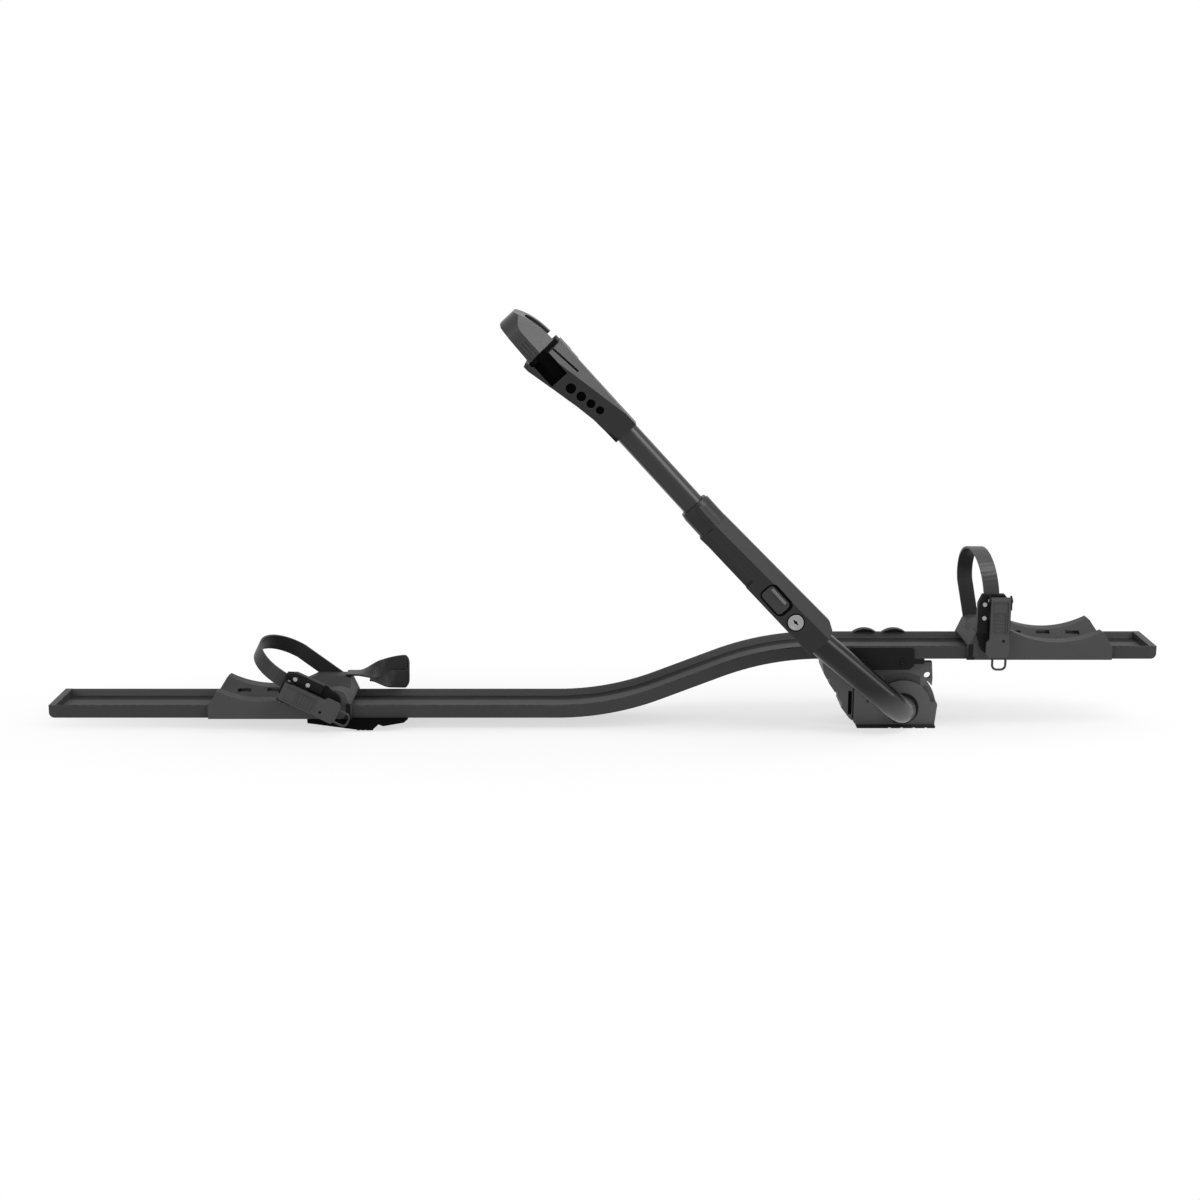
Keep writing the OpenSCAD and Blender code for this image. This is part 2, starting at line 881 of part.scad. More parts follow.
module upper_tube() {
    color("#3f4144")
        on_arm()
            translate([0, arm_y, upper_low])
                linear_extrude(height = head_low + head_socket - upper_low)
                    ring(upper_od / 2, upper_od / 2 - upper_wall);
}

head_near = arm_y - 24;
head_far = arm_y + 20;
head_side = 17;
head_lip = 38;
jaw_far = 4;
jaw_seat = head_top - 6;
rack_x0 = -19;
rack_x1 = -5;
rack_y0 = head_near + 8;
rack_y1 = head_near + 18;
rack_low = head_top - 76;
rack_top = head_top + 12;
// Place across and along the arm, and radius, of each hole in the head's side.
side_holes = [for (i = [0:3]) [-12.6 + 2.8 * i, head_top - 57 - 16.6 * i + 0.6 * i * i, 6.6 - 0.45 * i]];

// Side outline of the head: straight on the right, flared to a lip on the left.
module head_outline() {
    lip_in = 30.6;
    lip_rise = 4;
    polygon([
        [-0.44 * head_lip, head_low], [head_side, head_low], [head_side, jaw_seat], [-lip_in, jaw_seat],
        [-lip_in - 2, head_top + lip_rise], [-head_lip, head_top + lip_rise - 2], [-head_lip, jaw_seat],
        [-0.78 * head_lip, head_top - 44], [-0.58 * head_lip, head_top - 81], [-0.48 * head_lip, head_top - 105]
    ]);
}

// The sloped strip along the head's upper near edge, as the block that it takes off.
module head_strip() {
    strip_foot = 105;
    strip_x = 12.4;
    strip_lean = 10.5;
    strip_slope = 38;
    translate([strip_x, head_near, head_top - strip_foot])
        rotate([0, -strip_lean, 0])
            rotate([0, 0, strip_slope])
                block([0, -head_lip, -strip_foot], [2 * head_lip, 0, 2 * strip_foot]);
}

module head_housing() {
    notch_low = head_top - 40;
    notch_x0 = -29;
    notch_x1 = -3;
    hole_depth = 14;
    reach_low = head_top - 38;
    pin_r = 2.6;
    pocket_low = head_top - 46;
    pocket_high = head_top - 20;
    far_bevel = 9;
    near_bevel = 3;
    slit_low = head_top - 48;
    color("#46484b")
        difference() {
            union() {
                arm_plate(head_near, head_far)
                    head_outline();
                // The fixed jaw reaches over the rail towards the far side.
                arm_plate(head_far - 2, jaw_far)
                    polygon([
                        [-34, reach_low], [8, reach_low], [14, reach_low + 12], [14, jaw_seat], [-36, jaw_seat],
                        [-36, reach_low + 12]
                    ]);
            }
            on_arm() {
                translate([0, arm_y, head_low - 1])
                    cylinder(r = upper_od / 2 + fixed_gap, h = head_socket + 1.2);
                // The slide for the moving jaw's rack.
                block([rack_x0 - slide_gap, rack_y0 - slide_gap, rack_low - 3],
                      [rack_x1 + slide_gap, rack_y1 + slide_gap, rack_top]);
                // The open notch in the near face, where the rack shows.
                block([notch_x0, head_near - 1, notch_low], [notch_x1, rack_y0 + 4, rack_top]);
                for (p = side_holes)
                    translate([p[0], 0, p[1]])
                        bar_y(p[2], head_near - 1, head_near + hole_depth);
                head_strip();
                // The slit in the sloped strip.
                translate([8, 0, slit_low])
                    rotate([0, -6, 0])
                        block([-1, head_near, 0], [1, head_near + 16, 80]);
                // Bevels along the far upper edge and the lower near edge.
                translate([head_side, head_far, head_low - 20])
                    rotate([0, 0, 45])
                        block([-far_bevel, -far_bevel, 0], [far_bevel, far_bevel, reach_low - head_low + 20]);
                translate([-head_side - 0.5, head_near, head_low + 19])
                    rotate([0, -10, 0])
                        rotate([0, 0, 45])
                            block([-near_bevel, -near_bevel, -30], [near_bevel, near_bevel, 150]);
                // The cross pin's bore.
                translate([0, 0, head_low + 14])
                    bar_y(pin_r, head_near + 4, head_far + 1);
                // Lightening pockets under the fixed jaw.
                for (y = [-42, -22])
                    block([-26, y, pocket_low], [4, y + 14, pocket_high]);
            }
        }
}

module head_pin() {
    color("#7f8286")
        on_arm()
            translate([0, 0, head_low + 14]) {
                bar_y(2.6 - fixed_gap, arm_y + upper_od / 2 + 0.4, head_far - 1);
            }
}

module inner_jaw_pad() {
    pad_x0 = 29.5;
    pad_x1 = 12;
    color("#151516")
        difference() {
            arm_plate(head_far + 2, jaw_far - 2)
                polygon([
                    [-pad_x0, jaw_seat + fixed_gap], [pad_x1, jaw_seat + fixed_gap], [pad_x1, head_top],
                    [-pad_x0, head_top]
                ]);
            on_arm()
                for (step = [0:4])
                    translate([0, head_far + 6 + step * 10, head_top])
                        bar_x(1.6, -head_lip - 2, head_side + 3);
        }
}

jaw_near = head_near + 3;
jaw_low = head_top + 1;
jaw_top = head_top + 60;
hook_leg = 18;
hook_crown = 14;
hook_round = 26;
hook_inner_round = 16;

// A bar's section of a width and height, with its upper corners rounded.
module round_topped(width, height, round_r) {
    square([width, height - round_r]);
    for (x = [round_r, width - round_r])
        translate([x, height - round_r])
            circle(r = round_r);
    translate([round_r, height - round_r - 1])
        square([width - 2 * round_r, round_r + 1]);
}

// The hook's hollow in Y and along the arm, made smaller by a step on every side.
module hook_hollow(less) {
    translate([jaw_near + hook_leg + less, jaw_low - 10])
        round_topped(jaw_far - jaw_near - 2 * (hook_leg + less), jaw_top - hook_crown - less - jaw_low + 10,
                     hook_inner_round - less);
}

// Section of the moving jaw in Y and along the arm: a hook that comes down again on the far side.
module hook_section() {
    difference() {
        translate([jaw_near, jaw_low])
            round_topped(jaw_far - jaw_near, jaw_top - jaw_low, hook_round);
        hook_hollow(0);
        // The far leg ends above the fixed jaw.
        translate([jaw_far - hook_leg - 1, jaw_low - 1])
            square([hook_leg + 2, 9]);
    }
}

// Side outline of the moving jaw: straight on the left, and bowed on the right towards a narrower tip.
module jaw_outline() {
    steps = 10;
    root_x = 10.5;
    tip_in = 13.5;
    left_x = -29.6;
    polygon(concat(
        [[left_x, jaw_low - 2], [root_x, jaw_low - 2]],
        [for (i = [0:steps])
            let (part = i / steps)
            [root_x - tip_in * pow(part, 2.2), jaw_low + (jaw_top - jaw_low) * part]],
        [[left_x + 4, jaw_top], [left_x + 2.2, jaw_top - 4]]));
}

module outer_jaw() {
    bevel_x = -11.5;
    bevel_slope = 35;
    groove_depth = 1.4;
    color("#3b3d40")
        on_arm()
            difference() {
                intersection() {
                    drawn_x(-head_lip, head_side)
                        hook_section();
                    plate_y(head_near - 1, jaw_far + 1)
                        jaw_outline();
                }
                // The sloped strip that goes on from the head's.
                translate([bevel_x, jaw_near, 0])
                    rotate([0, 0, bevel_slope])
                        block([0, -head_lip, jaw_low - 10], [2 * head_lip, 0, jaw_top + 10]);
                // Grooves along the near face.
                for (x = [-25, -20.5, -16])
                    block([x - 0.8, jaw_near - 1, jaw_low - 1],
                          [x + 0.8, jaw_near + groove_depth, jaw_top - 1.4 * hook_round]);
                // The seat of the rack's upper end.
                block([rack_x0 - fixed_gap, rack_y0 - fixed_gap, jaw_low - 1],
                      [rack_x1 + fixed_gap, rack_y1 + fixed_gap, rack_top + fixed_gap]);
            }
}

// The toothed bar that carries the moving jaw in the head's slide.
module jaw_rack() {
    tooth = 1.2;
    pitch = 6;
    count = floor((jaw_low - rack_low) / pitch) - 1;
    color("#141416")
        on_arm()
            difference() {
                block([rack_x0, rack_y0, rack_low], [rack_x1, rack_y1, rack_top]);
                for (step = [1:count])
                    translate([rack_x0, 0, rack_low + step * pitch])
                        rotate([0, 45, 0])
                            block([-tooth, rack_y0 - 1, -tooth], [tooth, rack_y1 + 1, tooth]);
            }
}

module outer_jaw_pad() {
    pad = 3;
    pad_x0 = -26;
    pad_low = jaw_low + 22;
    color("#151516")
        on_arm()
            intersection() {
                drawn_x(pad_x0, 0)
                    difference() {
                        hook_hollow(fixed_gap);
                        hook_hollow(pad);
                    }
                block([-head_lip, head_near, pad_low], [head_side, jaw_far, jaw_top]);
                // The pad follows the jaw's narrowing tip.
                plate_y(head_near, jaw_far)
                    jaw_outline();
            }
}

// Wheel cradles

// Sizes of a cradle in its own axes: X away from the arm, Z up from the rail's underside.
cradle_inner = -116;
cradle_outer = 72;
ear_top = 39;
peak_x = 55;
peak_z = 37;
seat_low = 23.5;
window_x = [-51, -12, 27];
window_length = 18;
window_height = 4.2;
strap_pin_x = -88;
strap_pin_z = 24;
strap_pin_r = 3;
strap_pin_out = cradle_half + 7;

module cradle_outline() {
    difference() {
        polygon([
            [cradle_inner, 0], [cradle_inner, rail_height - 1], [cradle_inner + 9, ear_top - 3],
            [cradle_inner + 17, ear_top], [peak_x, ear_top], [peak_x + 3, peak_z], [peak_x + 6, peak_z - 2],
            [cradle_outer, rail_height - 1], [cradle_outer, 0]
        ]);
        translate([0, seat_low + scallop_r])
            circle(r = scallop_r, $fn = 128);
    }
}

module cradle_solid() {
    tongue_half = 33;
    skirt_in = half_rail + slide_gap;
    tyre_r = tyre_width / 2;
    trough_low = rail_floor + slide_gap + 3;
    difference() {
        union() {
            difference() {
                plate_y(-cradle_half, cradle_half)
                    cradle_outline();
                block([-200, -skirt_in, -1], [200, skirt_in, rail_height + slide_gap]);
            }
            // The tongue stands in the wheel channel.
            block([cradle_inner + 8, -tongue_half, rail_floor + slide_gap],
                  [cradle_outer - 4, tongue_half, rail_height + slide_gap + 1]);
        }
        // The trough that the tyre stands in.
        translate([0, 0, trough_low + wheel_diameter / 2])
            rotate([90, 0, 0])
                rotate_extrude($fn = 180)
                    translate([wheel_diameter / 2 - tyre_r, 0])
                        circle(r = tyre_r);
        // Windows in the far side wall.
        for (x = window_x)
            block([x, 0, rail_height + 2 * slide_gap],
                  [x + window_length, cradle_half + 1, rail_height + 2 * slide_gap + window_height]);
        translate([strap_pin_x, 0, strap_pin_z])
            bar_y(strap_pin_r + fixed_gap, -cradle_half - 1, cradle_half + 1);
        // Drain slots through the tongue.
        for (x = [-40, 0, 40])
            block([x - 8, -4, 0], [x + 8, 4, 40]);
    }
}

// Puts a piece from the cradle's axes on the rail: the rear cradle is the mirror image of the front one.
module at_front() {
    translate([front_seat_x, 0, rail_front_z])
        children();
}

module at_rear() {
    translate([rear_seat_x, 0, rail_seat_z])
        mirror([1, 0, 0])
            children();
}

// Turns a piece about the strap's pins, outwards over the wheel seat.
module leaned(angle) {
    translate([strap_pin_x, 0, strap_pin_z])
        rotate([0, angle, 0])
            translate([-strap_pin_x, 0, -strap_pin_z])
                children();
}

// Near and far pin on one line, each with a head that keeps the strap on.
module pivot_pins() {
    translate([strap_pin_x, 0, strap_pin_z])
        for (side = [0, 1])
            mirror([0, side, 0]) {
                bar_y(strap_pin_r, cradle_half - 10, cradle_half + 5);
                bar_y(strap_pin_r + 2.4, cradle_half + 4, cradle_half + 5.6);
            }
}

buckle_near = -cradle_half - slide_gap;
buckle_plate = 2.6;
strap_room = strap_thick + 1.2;
bridge_far = buckle_near - buckle_plate - strap_room;
bridge_near = bridge_far - 2.2;
lever_pin_y = bridge_near - 5;
lever_pin_z = 82;
lever_pin_r = 2;
buckle_x0 = -107;
buckle_x1 = -63;
buckle_top = 89;
buckle_wall = 2;
lever_x0 = -92;
lever_x1 = -67;
cheek = 2;
rivet_x = -98.5;
rivet_z = [58, 76];

// One cheek of the buckle, between two planes across X.
module buckle_cheek(x0, x1) {
    drawn_x(x0, x1) {
        translate([lever_pin_y, lever_pin_z - 6])
            square([bridge_near + 1 - lever_pin_y, 12]);
        translate([lever_pin_y, lever_pin_z])
            circle(r = 4.6);
    }
}

// The frame of the ratchet buckle: a back plate with the pivot eye, a bridge over the strap with a flange
// down its left side, and two cheeks for the lever's pin.
module buckle() {
    plate_low = 34;
    bridge_low = 68;
    flange_low = 38;
    flange_x = -94;
    eye_r = 15;
    difference() {
        union() {
            plate_y(buckle_near - buckle_plate, buckle_near) {
                translate([strap_pin_x, strap_pin_z])
                    circle(r = eye_r);
                translate([buckle_x0, plate_low])
                    square([buckle_x1 - buckle_x0, buckle_top - plate_low]);
                polygon([
                    [strap_pin_x - eye_r, strap_pin_z], [strap_pin_x + eye_r, strap_pin_z],
                    [buckle_x1, plate_low + 1], [buckle_x0, plate_low + 1]
                ]);
            }
            plate_y(bridge_near, bridge_far) {
                translate([buckle_x0, bridge_low])
                    square([buckle_x1 - buckle_x0, buckle_top - bridge_low]);
                translate([buckle_x0, flange_low])
                    square([flange_x - buckle_x0, buckle_top - flange_low]);
            }
            block([buckle_x0, bridge_near, flange_low],
                  [buckle_x0 + buckle_wall, buckle_near, buckle_top]);
            block([buckle_x1 - buckle_wall, bridge_near, bridge_low],
                  [buckle_x1, buckle_near, buckle_top]);
            for (x = [lever_x0 - cheek - 0.4, lever_x1 + 0.4])
                buckle_cheek(x, x + cheek);
        }
        translate([strap_pin_x, 0, strap_pin_z])
            bar_y(strap_pin_r + pin_gap, buckle_near - 10, buckle_near + 2);
        for (z = rivet_z)
            translate([rivet_x, 0, z])
                bar_y(1.6, bridge_near - 1, bridge_far + 1);
        translate([0, lever_pin_y, lever_pin_z])
            bar_x(lever_pin_r, -140, -40);
        // Both upper corners are cut off.
        plate_y(bridge_near - 1, buckle_near + 1) {
            for (corner = [[buckle_x0 - 1, 7], [buckle_x1 + 1, -12]])
                polygon([
                    [corner[0], buckle_top - 14], [corner[0], buckle_top + 1],
                    [corner[0] + corner[1], buckle_top + 1]
                ]);
        }
    }
}

module rivets() {
    for (z = rivet_z)
        translate([rivet_x, 0, z]) {
            bar_y(1.6 - fixed_gap, bridge_near - 1, bridge_far - 0.1);
            bar_y(2.9, bridge_near - 1.6, bridge_near - fixed_gap);
        }
}

module lever_pin() {
    translate([0, lever_pin_y, lever_pin_z])
        bar_x(lever_pin_r - fixed_gap, lever_x0 - cheek - 1.6, lever_x1 + cheek + 1.6);
}

// The lever hangs from its pin over the buckle's plate, down to the bail.
module lever() {
    panel_far = lever_pin_y + 1;
    panel_near = lever_pin_y - 3.2;
    low = 7;
    paddle_top = 27;
    paddle_out = 4;
    corner = 4;
    difference() {
        union() {
            translate([0, lever_pin_y, lever_pin_z])
                bar_x(4.4, lever_x0, lever_x1);
            // A slim shank, and a paddle for the hand at its lower end.
            plate_y(panel_near, panel_far)
                polygon([
                    [lever_x0, lever_pin_z], [lever_x1, lever_pin_z], [lever_x1, paddle_top + corner],
                    [lever_x1 + 1, paddle_top], [lever_x1 + 1, low + corner], [lever_x1 + 1 - corner, low],
                    [lever_x0 - paddle_out + corner, low], [lever_x0 - paddle_out, low + corner],
                    [lever_x0 - paddle_out, paddle_top], [lever_x0, paddle_top + corner]
                ]);
            // Stiffening edges.
            for (x = [lever_x0, lever_x1 - 2.4])
                block([x, panel_near - 1.4, 40], [x + 2.4, panel_near + 1, lever_pin_z]);
        }
        // A round hole at the head of the paddle.
        translate([lever_x1 - 7, 0, paddle_top + 2])
            bar_y(2, panel_near - 1, panel_far + 1);
        translate([0, lever_pin_y, lever_pin_z])
            bar_x(lever_pin_r + pin_gap, lever_x0 - 1, lever_x1 + 1);
        // A sunk thumb panel.
        block([lever_x0 + 5, panel_near - 1, 38], [lever_x1 - 5, panel_near + 0.8, 66]);
        for (x = [bail_x0, bail_x1])
            translate([x, bail_y, low - 1])
                cylinder(r = bail_wire + fixed_gap, h = bail_top + fixed_gap - low + 1, $fn = 32);
    }
}

bail_wire = 1.5;
bail_x0 = -87;
bail_x1 = -70;
bail_low = -9;
bail_top = 20;
bail_y = lever_pin_y - 1.1;

// The wire finger loop under the lever.
module bail() {
    turn = 6;
    for (x = [bail_x0, bail_x1])
        translate([x, bail_y, bail_low + turn])
            cylinder(r = bail_wire, h = bail_top - bail_low - turn, $fn = 32);
    translate([0, bail_y, bail_low])
        bar_x(bail_wire, bail_x0 + turn, bail_x1 - turn, $fn = 32);
    for (side = [0, 1])
        translate([side ? bail_x1 - turn : bail_x0 + turn, bail_y, bail_low + turn])
            rotate([90, side ? 90 : 180, 0])
                rotate_extrude(angle = 90)
                    translate([turn, 0])
                        circle(r = bail_wire, $fn = 32);
}

// Strap: a toothed band from the buckle over the wheel to the far pin.

strap_near_y = bridge_far + strap_room / 2;
strap_far_y = cradle_half + slide_gap + 0.3 + strap_thick / 2;
strap_near_low = 56;
strap_far_low = 13;
arch_z = 88;
arch_r = (strap_far_y - strap_near_y) / 2;
arch_middle = (strap_far_y + strap_near_y) / 2;
arch_length = PI * arch_r;
near_leg = arch_z - strap_near_low;
far_leg = arch_z - strap_far_low;
strap_length = near_leg + arch_length + far_leg;
strap_tooth = 0.2;

// Middle line of the strap at a length from its near end: up the buckle, over the arch, down the far leg.
// Both legs lean towards the arm, the far one more.
function strap_point(length) =
    let (turn = min(max((length - near_leg) / arch_length, 0), 1))
    let (up = min(length - near_leg, 0), down = max(length - near_leg - arch_length, 0))
    let (near_x = strap_pin_x + 3 + near_lean * (up + near_leg))
    let (far_x = strap_pin_x - 3 + far_lean * (far_leg - down))
    [
        near_x + (far_x - near_x) * (1 - cos(180 * turn)) / 2 - arch_sway * sin(180 * turn),
        arch_middle - arch_r * cos(180 * turn),
        arch_z + arch_r * sin(180 * turn) + up - down
    ];
near_lean = -0.15;
far_lean = -0.19;
arch_sway = 4;

// Corners of the strap's section at a ring: inner edge, then outer edge, which is raised on every second ring.
function strap_ring(index) =
    let (length = strap_length * index / strap_steps, step = 0.5)
    let (along = strap_point(length + step) - strap_point(length - step))
    let (t = along / norm(along), flat = [1, 0, 0] - t[0] * t, w = flat / norm(flat))
    let (out = cross(w, t), plain = length < near_leg + 8 || length > strap_length - 30)
    let (raise = plain || index % 2 == 0 ? 0 : strap_tooth)
    let (p = strap_point(length), half_w = w * strap_width / 2, half_t = out * strap_thick / 2)
    [
        p - half_w - half_t, p + half_w - half_t,
        p + half_w + half_t + out * raise, p - half_w + half_t + out * raise
    ];
strap_steps = 2 * round(strap_length / strap_pitch);

// Faces of a band with four corners at each ring.
function band_faces(steps) = concat(
    [[0, 1, 2], [0, 2, 3]],
    [for (i = [0:steps - 1], k = [0:3])
        let (a = 4 * i, b = (k + 1) % 4)
        each [[a + k, a + 4 + b, a + b], [a + k, a + 4 + k, a + 4 + b]]],
    [[4 * steps + 2, 4 * steps + 1, 4 * steps], [4 * steps + 3, 4 * steps + 2, 4 * steps]]);

module strap() {
    difference() {
        polyhedron(points = [for (i = [0:strap_steps]) each strap_ring(i)], faces = band_faces(strap_steps));
        translate([strap_pin_x, 0, strap_pin_z])
            bar_y(strap_pin_r + pin_gap, strap_far_y - 5, strap_far_y + 5);
    }
}

module rear_cradle() {
    color("#4d4f52")
        at_rear()
            cradle_solid();
}

module front_cradle() {
    color("#4d4f52")
        at_front()
            cradle_solid();
}

module rear_pivot_pins() {
    color("#85888c")
        at_rear()
            pivot_pins();
}

module front_pivot_pins() {
    color("#85888c")
        at_front()
            pivot_pins();
}

module rear_strap() {
    color("#26272a")
        at_rear()
            leaned(rear_lean)
                strap();
}

module front_strap() {
    color("#26272a")
        at_front()
            strap();
}

module rear_buckle() {
    color("#1f2022")
        at_rear()
            leaned(rear_lean)
                buckle();
}

module front_buckle() {
    color("#1f2022")
        at_front()
            buckle();
}

module rear_rivets() {
    color("#9a9da1")
        at_rear()
            leaned(rear_lean)
                rivets();
}

module front_rivets() {
    color("#9a9da1")
        at_front()
            rivets();
}

module rear_lever_pin() {
    color("#85888c")
        at_rear()
            leaned(rear_lean)
                lever_pin();
}

module front_lever_pin() {
    color("#85888c")
        at_front()
            lever_pin();
}

module rear_lever() {
    color("#505255")
        at_rear()
            leaned(rear_lean)
                lever();
}

module front_lever() {
    color("#505255")
        at_front()
            lever();
}

module rear_bail() {
    color("#2b2c2e")
        at_rear()
            leaned(rear_lean)
                bail();
}

module front_bail() {
    color("#2b2c2e")
        at_front()
            bail();
}

// Rear strap tail: a band that leaves the far ear, twists upright, folds over and comes back below itself.

tail_steps = 44;
tail_width = strap_width + 2;
tail_seat = 26;
tail_run = 62;
tail_turn = 6;
tail_back = 56;
tail_y = 36.5;
tail_climb = 12;
tail_fall = 20;
tail_return = 2;
tail_tilt = 80;
tail_marks = [0.15, 0.48, 0.6];

// Share of the way between two marks, from 0 to 1.
function share(t, from, to) = min(max((t - from) / (to - from), 0), 1);

// The same share with a soft start and end.
function eased(t, from, to) = (1 - cos(180 * share(t, from, to))) / 2;

// Middle line of the tail at t from 0 to 1: flat on the ear, out, half a turn, and back.
function tail_point(t) =
    let (flat = share(t, 0, tail_marks[0]), out = share(t, tail_marks[0], tail_marks[1]))
    let (over = 180 * share(t, tail_marks[1], tail_marks[2]), back = share(t, tail_marks[2], 1))
    [
        cradle_inner + tail_seat * (1 - flat) - tail_run * out - tail_turn * sin(over) + tail_back * back,
        tail_y - tail_turn + tail_turn * cos(over) + tail_turn * out,
        ear_top + strap_thick / 2 + fixed_gap + tail_climb * eased(t, tail_marks[0], tail_marks[1])
            - tail_fall * (1 - cos(over)) / 2 + tail_return * eased(t, tail_marks[2], 1)
    ];

// Direction across the band at t: flat on the ear, nearly upright at the fold, and flat again at the free end.
function tail_across(t) =
    let (tilt = 90 - tail_tilt * (eased(t, tail_marks[0], tail_marks[1]) - eased(t, tail_marks[2], 1)))
    [0, -sin(tilt), cos(tilt)];

// The four corners of the band at t.
function tail_ring(t) =
    let (step = 0.004, p = tail_point(t), w = tail_across(t))
    let (along = tail_point(min(t + step, 1)) - tail_point(max(t - step, 0)))
    let (n = cross(along, w), half_n = n / norm(n) * strap_thick / 2, half_w = w * tail_width / 2)
    [p - half_w - half_n, p + half_w - half_n, p + half_w + half_n, p - half_w + half_n];

module rear_strap_tail() {
    color("#26272a")
        at_rear()
            polyhedron(points = [for (i = [0:tail_steps]) each tail_ring(i / tail_steps)],
                       faces = band_faces(tail_steps));
}

// Rear foot

foot_rear = 82;
foot_front = 50;
foot_top = rail_seat_z - foot_gap;
foot_pad = 2.5;
foot_counterbore = 11;

// Side outline of the foot: a long wedge to the rear and a short toe with a notch to the front.
module foot_outline() {
    polygon([
        [-foot_rear, foot_top], [-0.99 * foot_rear, 0.7 * foot_top], [-0.17 * foot_rear, foot_pad],
        [0.08 * foot_front, foot_pad], [0.24 * foot_front, 0.6 * foot_top], [0.36 * foot_front, 0.46 * foot_top],
        [0.9 * foot_front, 0.74 * foot_top], [foot_front, foot_top]
    ]);
}

module rear_foot() {
    side_lean = 7;
    pocket_half = 30;
    pocket_length = 18;
    color("#1c1d1f")
        translate([foot_x, 0, 0])
            difference() {
                intersection() {
                    plate_y(-foot_half, foot_half)
                        foot_outline();
                    // The sides lean out towards the bar.
                    drawn_x(-foot_rear - 1, foot_front + 1)
                        polygon([
                            [-foot_half, 0], [foot_half, 0], [foot_half - side_lean, foot_top],
                            [side_lean - foot_half, foot_top]
                        ]);
                }
                translate([0, 0, -1])
                    cylinder(r = bolt_hole_r, h = 2 * foot_top);
                translate([0, 0, foot_counterbore])
                    cylinder(r = 7.2, h = foot_top);
                // Pockets in the upper face.
                for (x = [-0.76 * foot_rear, -0.42 * foot_rear, 0.44 * foot_front])
                    block([x, -pocket_half, foot_top - 2.4], [x + pocket_length, pocket_half, foot_top + 1]);
            }
}

module rear_foot_pad() {
    pad_rear = 17;
    pad_front = 4;
    side_in = 8;
    color("#121213")
        translate([foot_x, 0, 0])
            difference() {
                block([-pad_rear, side_in - foot_half, 0],
                      [pad_front, foot_half - side_in, foot_pad - fixed_gap]);
                translate([0, 0, -1])
                    cylinder(r = bolt_hole_r + 1.2, h = 2 * foot_pad + 1);
                for (step = [0, 1])
                    translate([-pad_rear + 4 + 6 * step, 0, 0])
                        block([0, -foot_half, -1], [2, foot_half, 0.8]);
            }
}

// The bolt that holds the foot to the slot nut, turned with a key through the foot's hole.
module rear_foot_bolt() {
    head_z = foot_counterbore + fixed_gap;
    color("#85888c")
        translate([foot_x, 0, 0])
            difference() {
                union() {
                    translate([0, 0, head_z])
                        cylinder(r = 6.8, h = 3);
                    translate([0, 0, head_z + 1])
                        cylinder(r = 4.1, h = rail_seat_z + slot_lip + 2.4 - head_z);
                }
                translate([0, 0, head_z - 1])
                    cylinder(r = 2.6, h = 3, $fn = 6);
            }
}

module rear_foot_nut() {
    color("#85888c")
        translate([foot_x, 0, rail_seat_z + slot_lip + 0.35])
            difference() {
                block([-15, -slot_inner / 2 + slide_gap, 0], [15, slot_inner / 2 - slide_gap, 2.6]);
                translate([0, 0, -1])
                    cylinder(r = 4.1 + fixed_gap, h = 5);
            }
}

rail();
rear_end_cap();
front_end_cap();
base_housing();
base_side_cover();
base_pad();
cover_screws();
pivot_bushes();
rail_saddle();
saddle_clamp();
saddle_screws();
base_screws();
lower_tube();
pivot_washer();
pivot_bolt();
sleeve_near();
sleeve_far();
sleeve_collar();
sleeve_screws();
lock_bezel();
lock_barrel();
release_button();
button_spring();
upper_tube();
head_housing();
head_pin();
inner_jaw_pad();
outer_jaw();
jaw_rack();
outer_jaw_pad();
rear_cradle();
rear_pivot_pins();
rear_strap();
rear_strap_tail();
rear_buckle();
rear_rivets();
rear_lever_pin();
rear_lever();
rear_bail();
front_cradle();
front_pivot_pins();
front_strap();
front_buckle();
front_rivets();
front_lever_pin();
front_lever();
front_bail();
rear_foot();
rear_foot_pad();
rear_foot_bolt();
rear_foot_nut();
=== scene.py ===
"""Studio scene of a roof mounted bike carrier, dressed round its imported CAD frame.

Every size is in metres, in the frame's own axes: X along the rail to the front, Y away from the viewer, Z up.
"""

import logging
import math
from dataclasses import dataclass
from enum import Enum
from typing import Iterable

import bmesh
import bpy
from bmesh.types import BMesh
from bpy.types import Material, Node, NodeSocket, NodeTree, Object, Scene
from mathutils import Matrix, Vector


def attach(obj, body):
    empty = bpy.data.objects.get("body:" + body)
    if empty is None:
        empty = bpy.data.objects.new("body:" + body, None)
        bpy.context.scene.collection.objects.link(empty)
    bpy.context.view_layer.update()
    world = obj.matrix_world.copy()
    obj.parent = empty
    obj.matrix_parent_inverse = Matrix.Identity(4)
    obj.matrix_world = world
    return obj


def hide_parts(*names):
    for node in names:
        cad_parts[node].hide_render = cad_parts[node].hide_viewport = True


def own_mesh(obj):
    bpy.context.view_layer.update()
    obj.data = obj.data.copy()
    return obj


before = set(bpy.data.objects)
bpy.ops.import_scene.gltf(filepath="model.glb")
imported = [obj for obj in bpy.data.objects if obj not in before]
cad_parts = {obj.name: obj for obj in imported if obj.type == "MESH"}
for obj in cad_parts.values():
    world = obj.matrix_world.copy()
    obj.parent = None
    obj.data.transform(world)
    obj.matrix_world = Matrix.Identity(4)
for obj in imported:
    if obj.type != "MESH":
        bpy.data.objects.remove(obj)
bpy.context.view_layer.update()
LOG = logging.getLogger("bike_carrier")

Pair = tuple[float, float]
Point = tuple[float, float, float]
Colour = tuple[float, float, float]
Outline = list[Pair]
Values = dict[str | int, object]

SCREEN_WHITE = 255.0
# The screen's tone curve: a straight foot near black, then a power.
FOOT_END = 0.04045
FOOT_SLOPE = 12.92
CURVE_SHIFT = 0.055
CURVE_POWER = 2.4


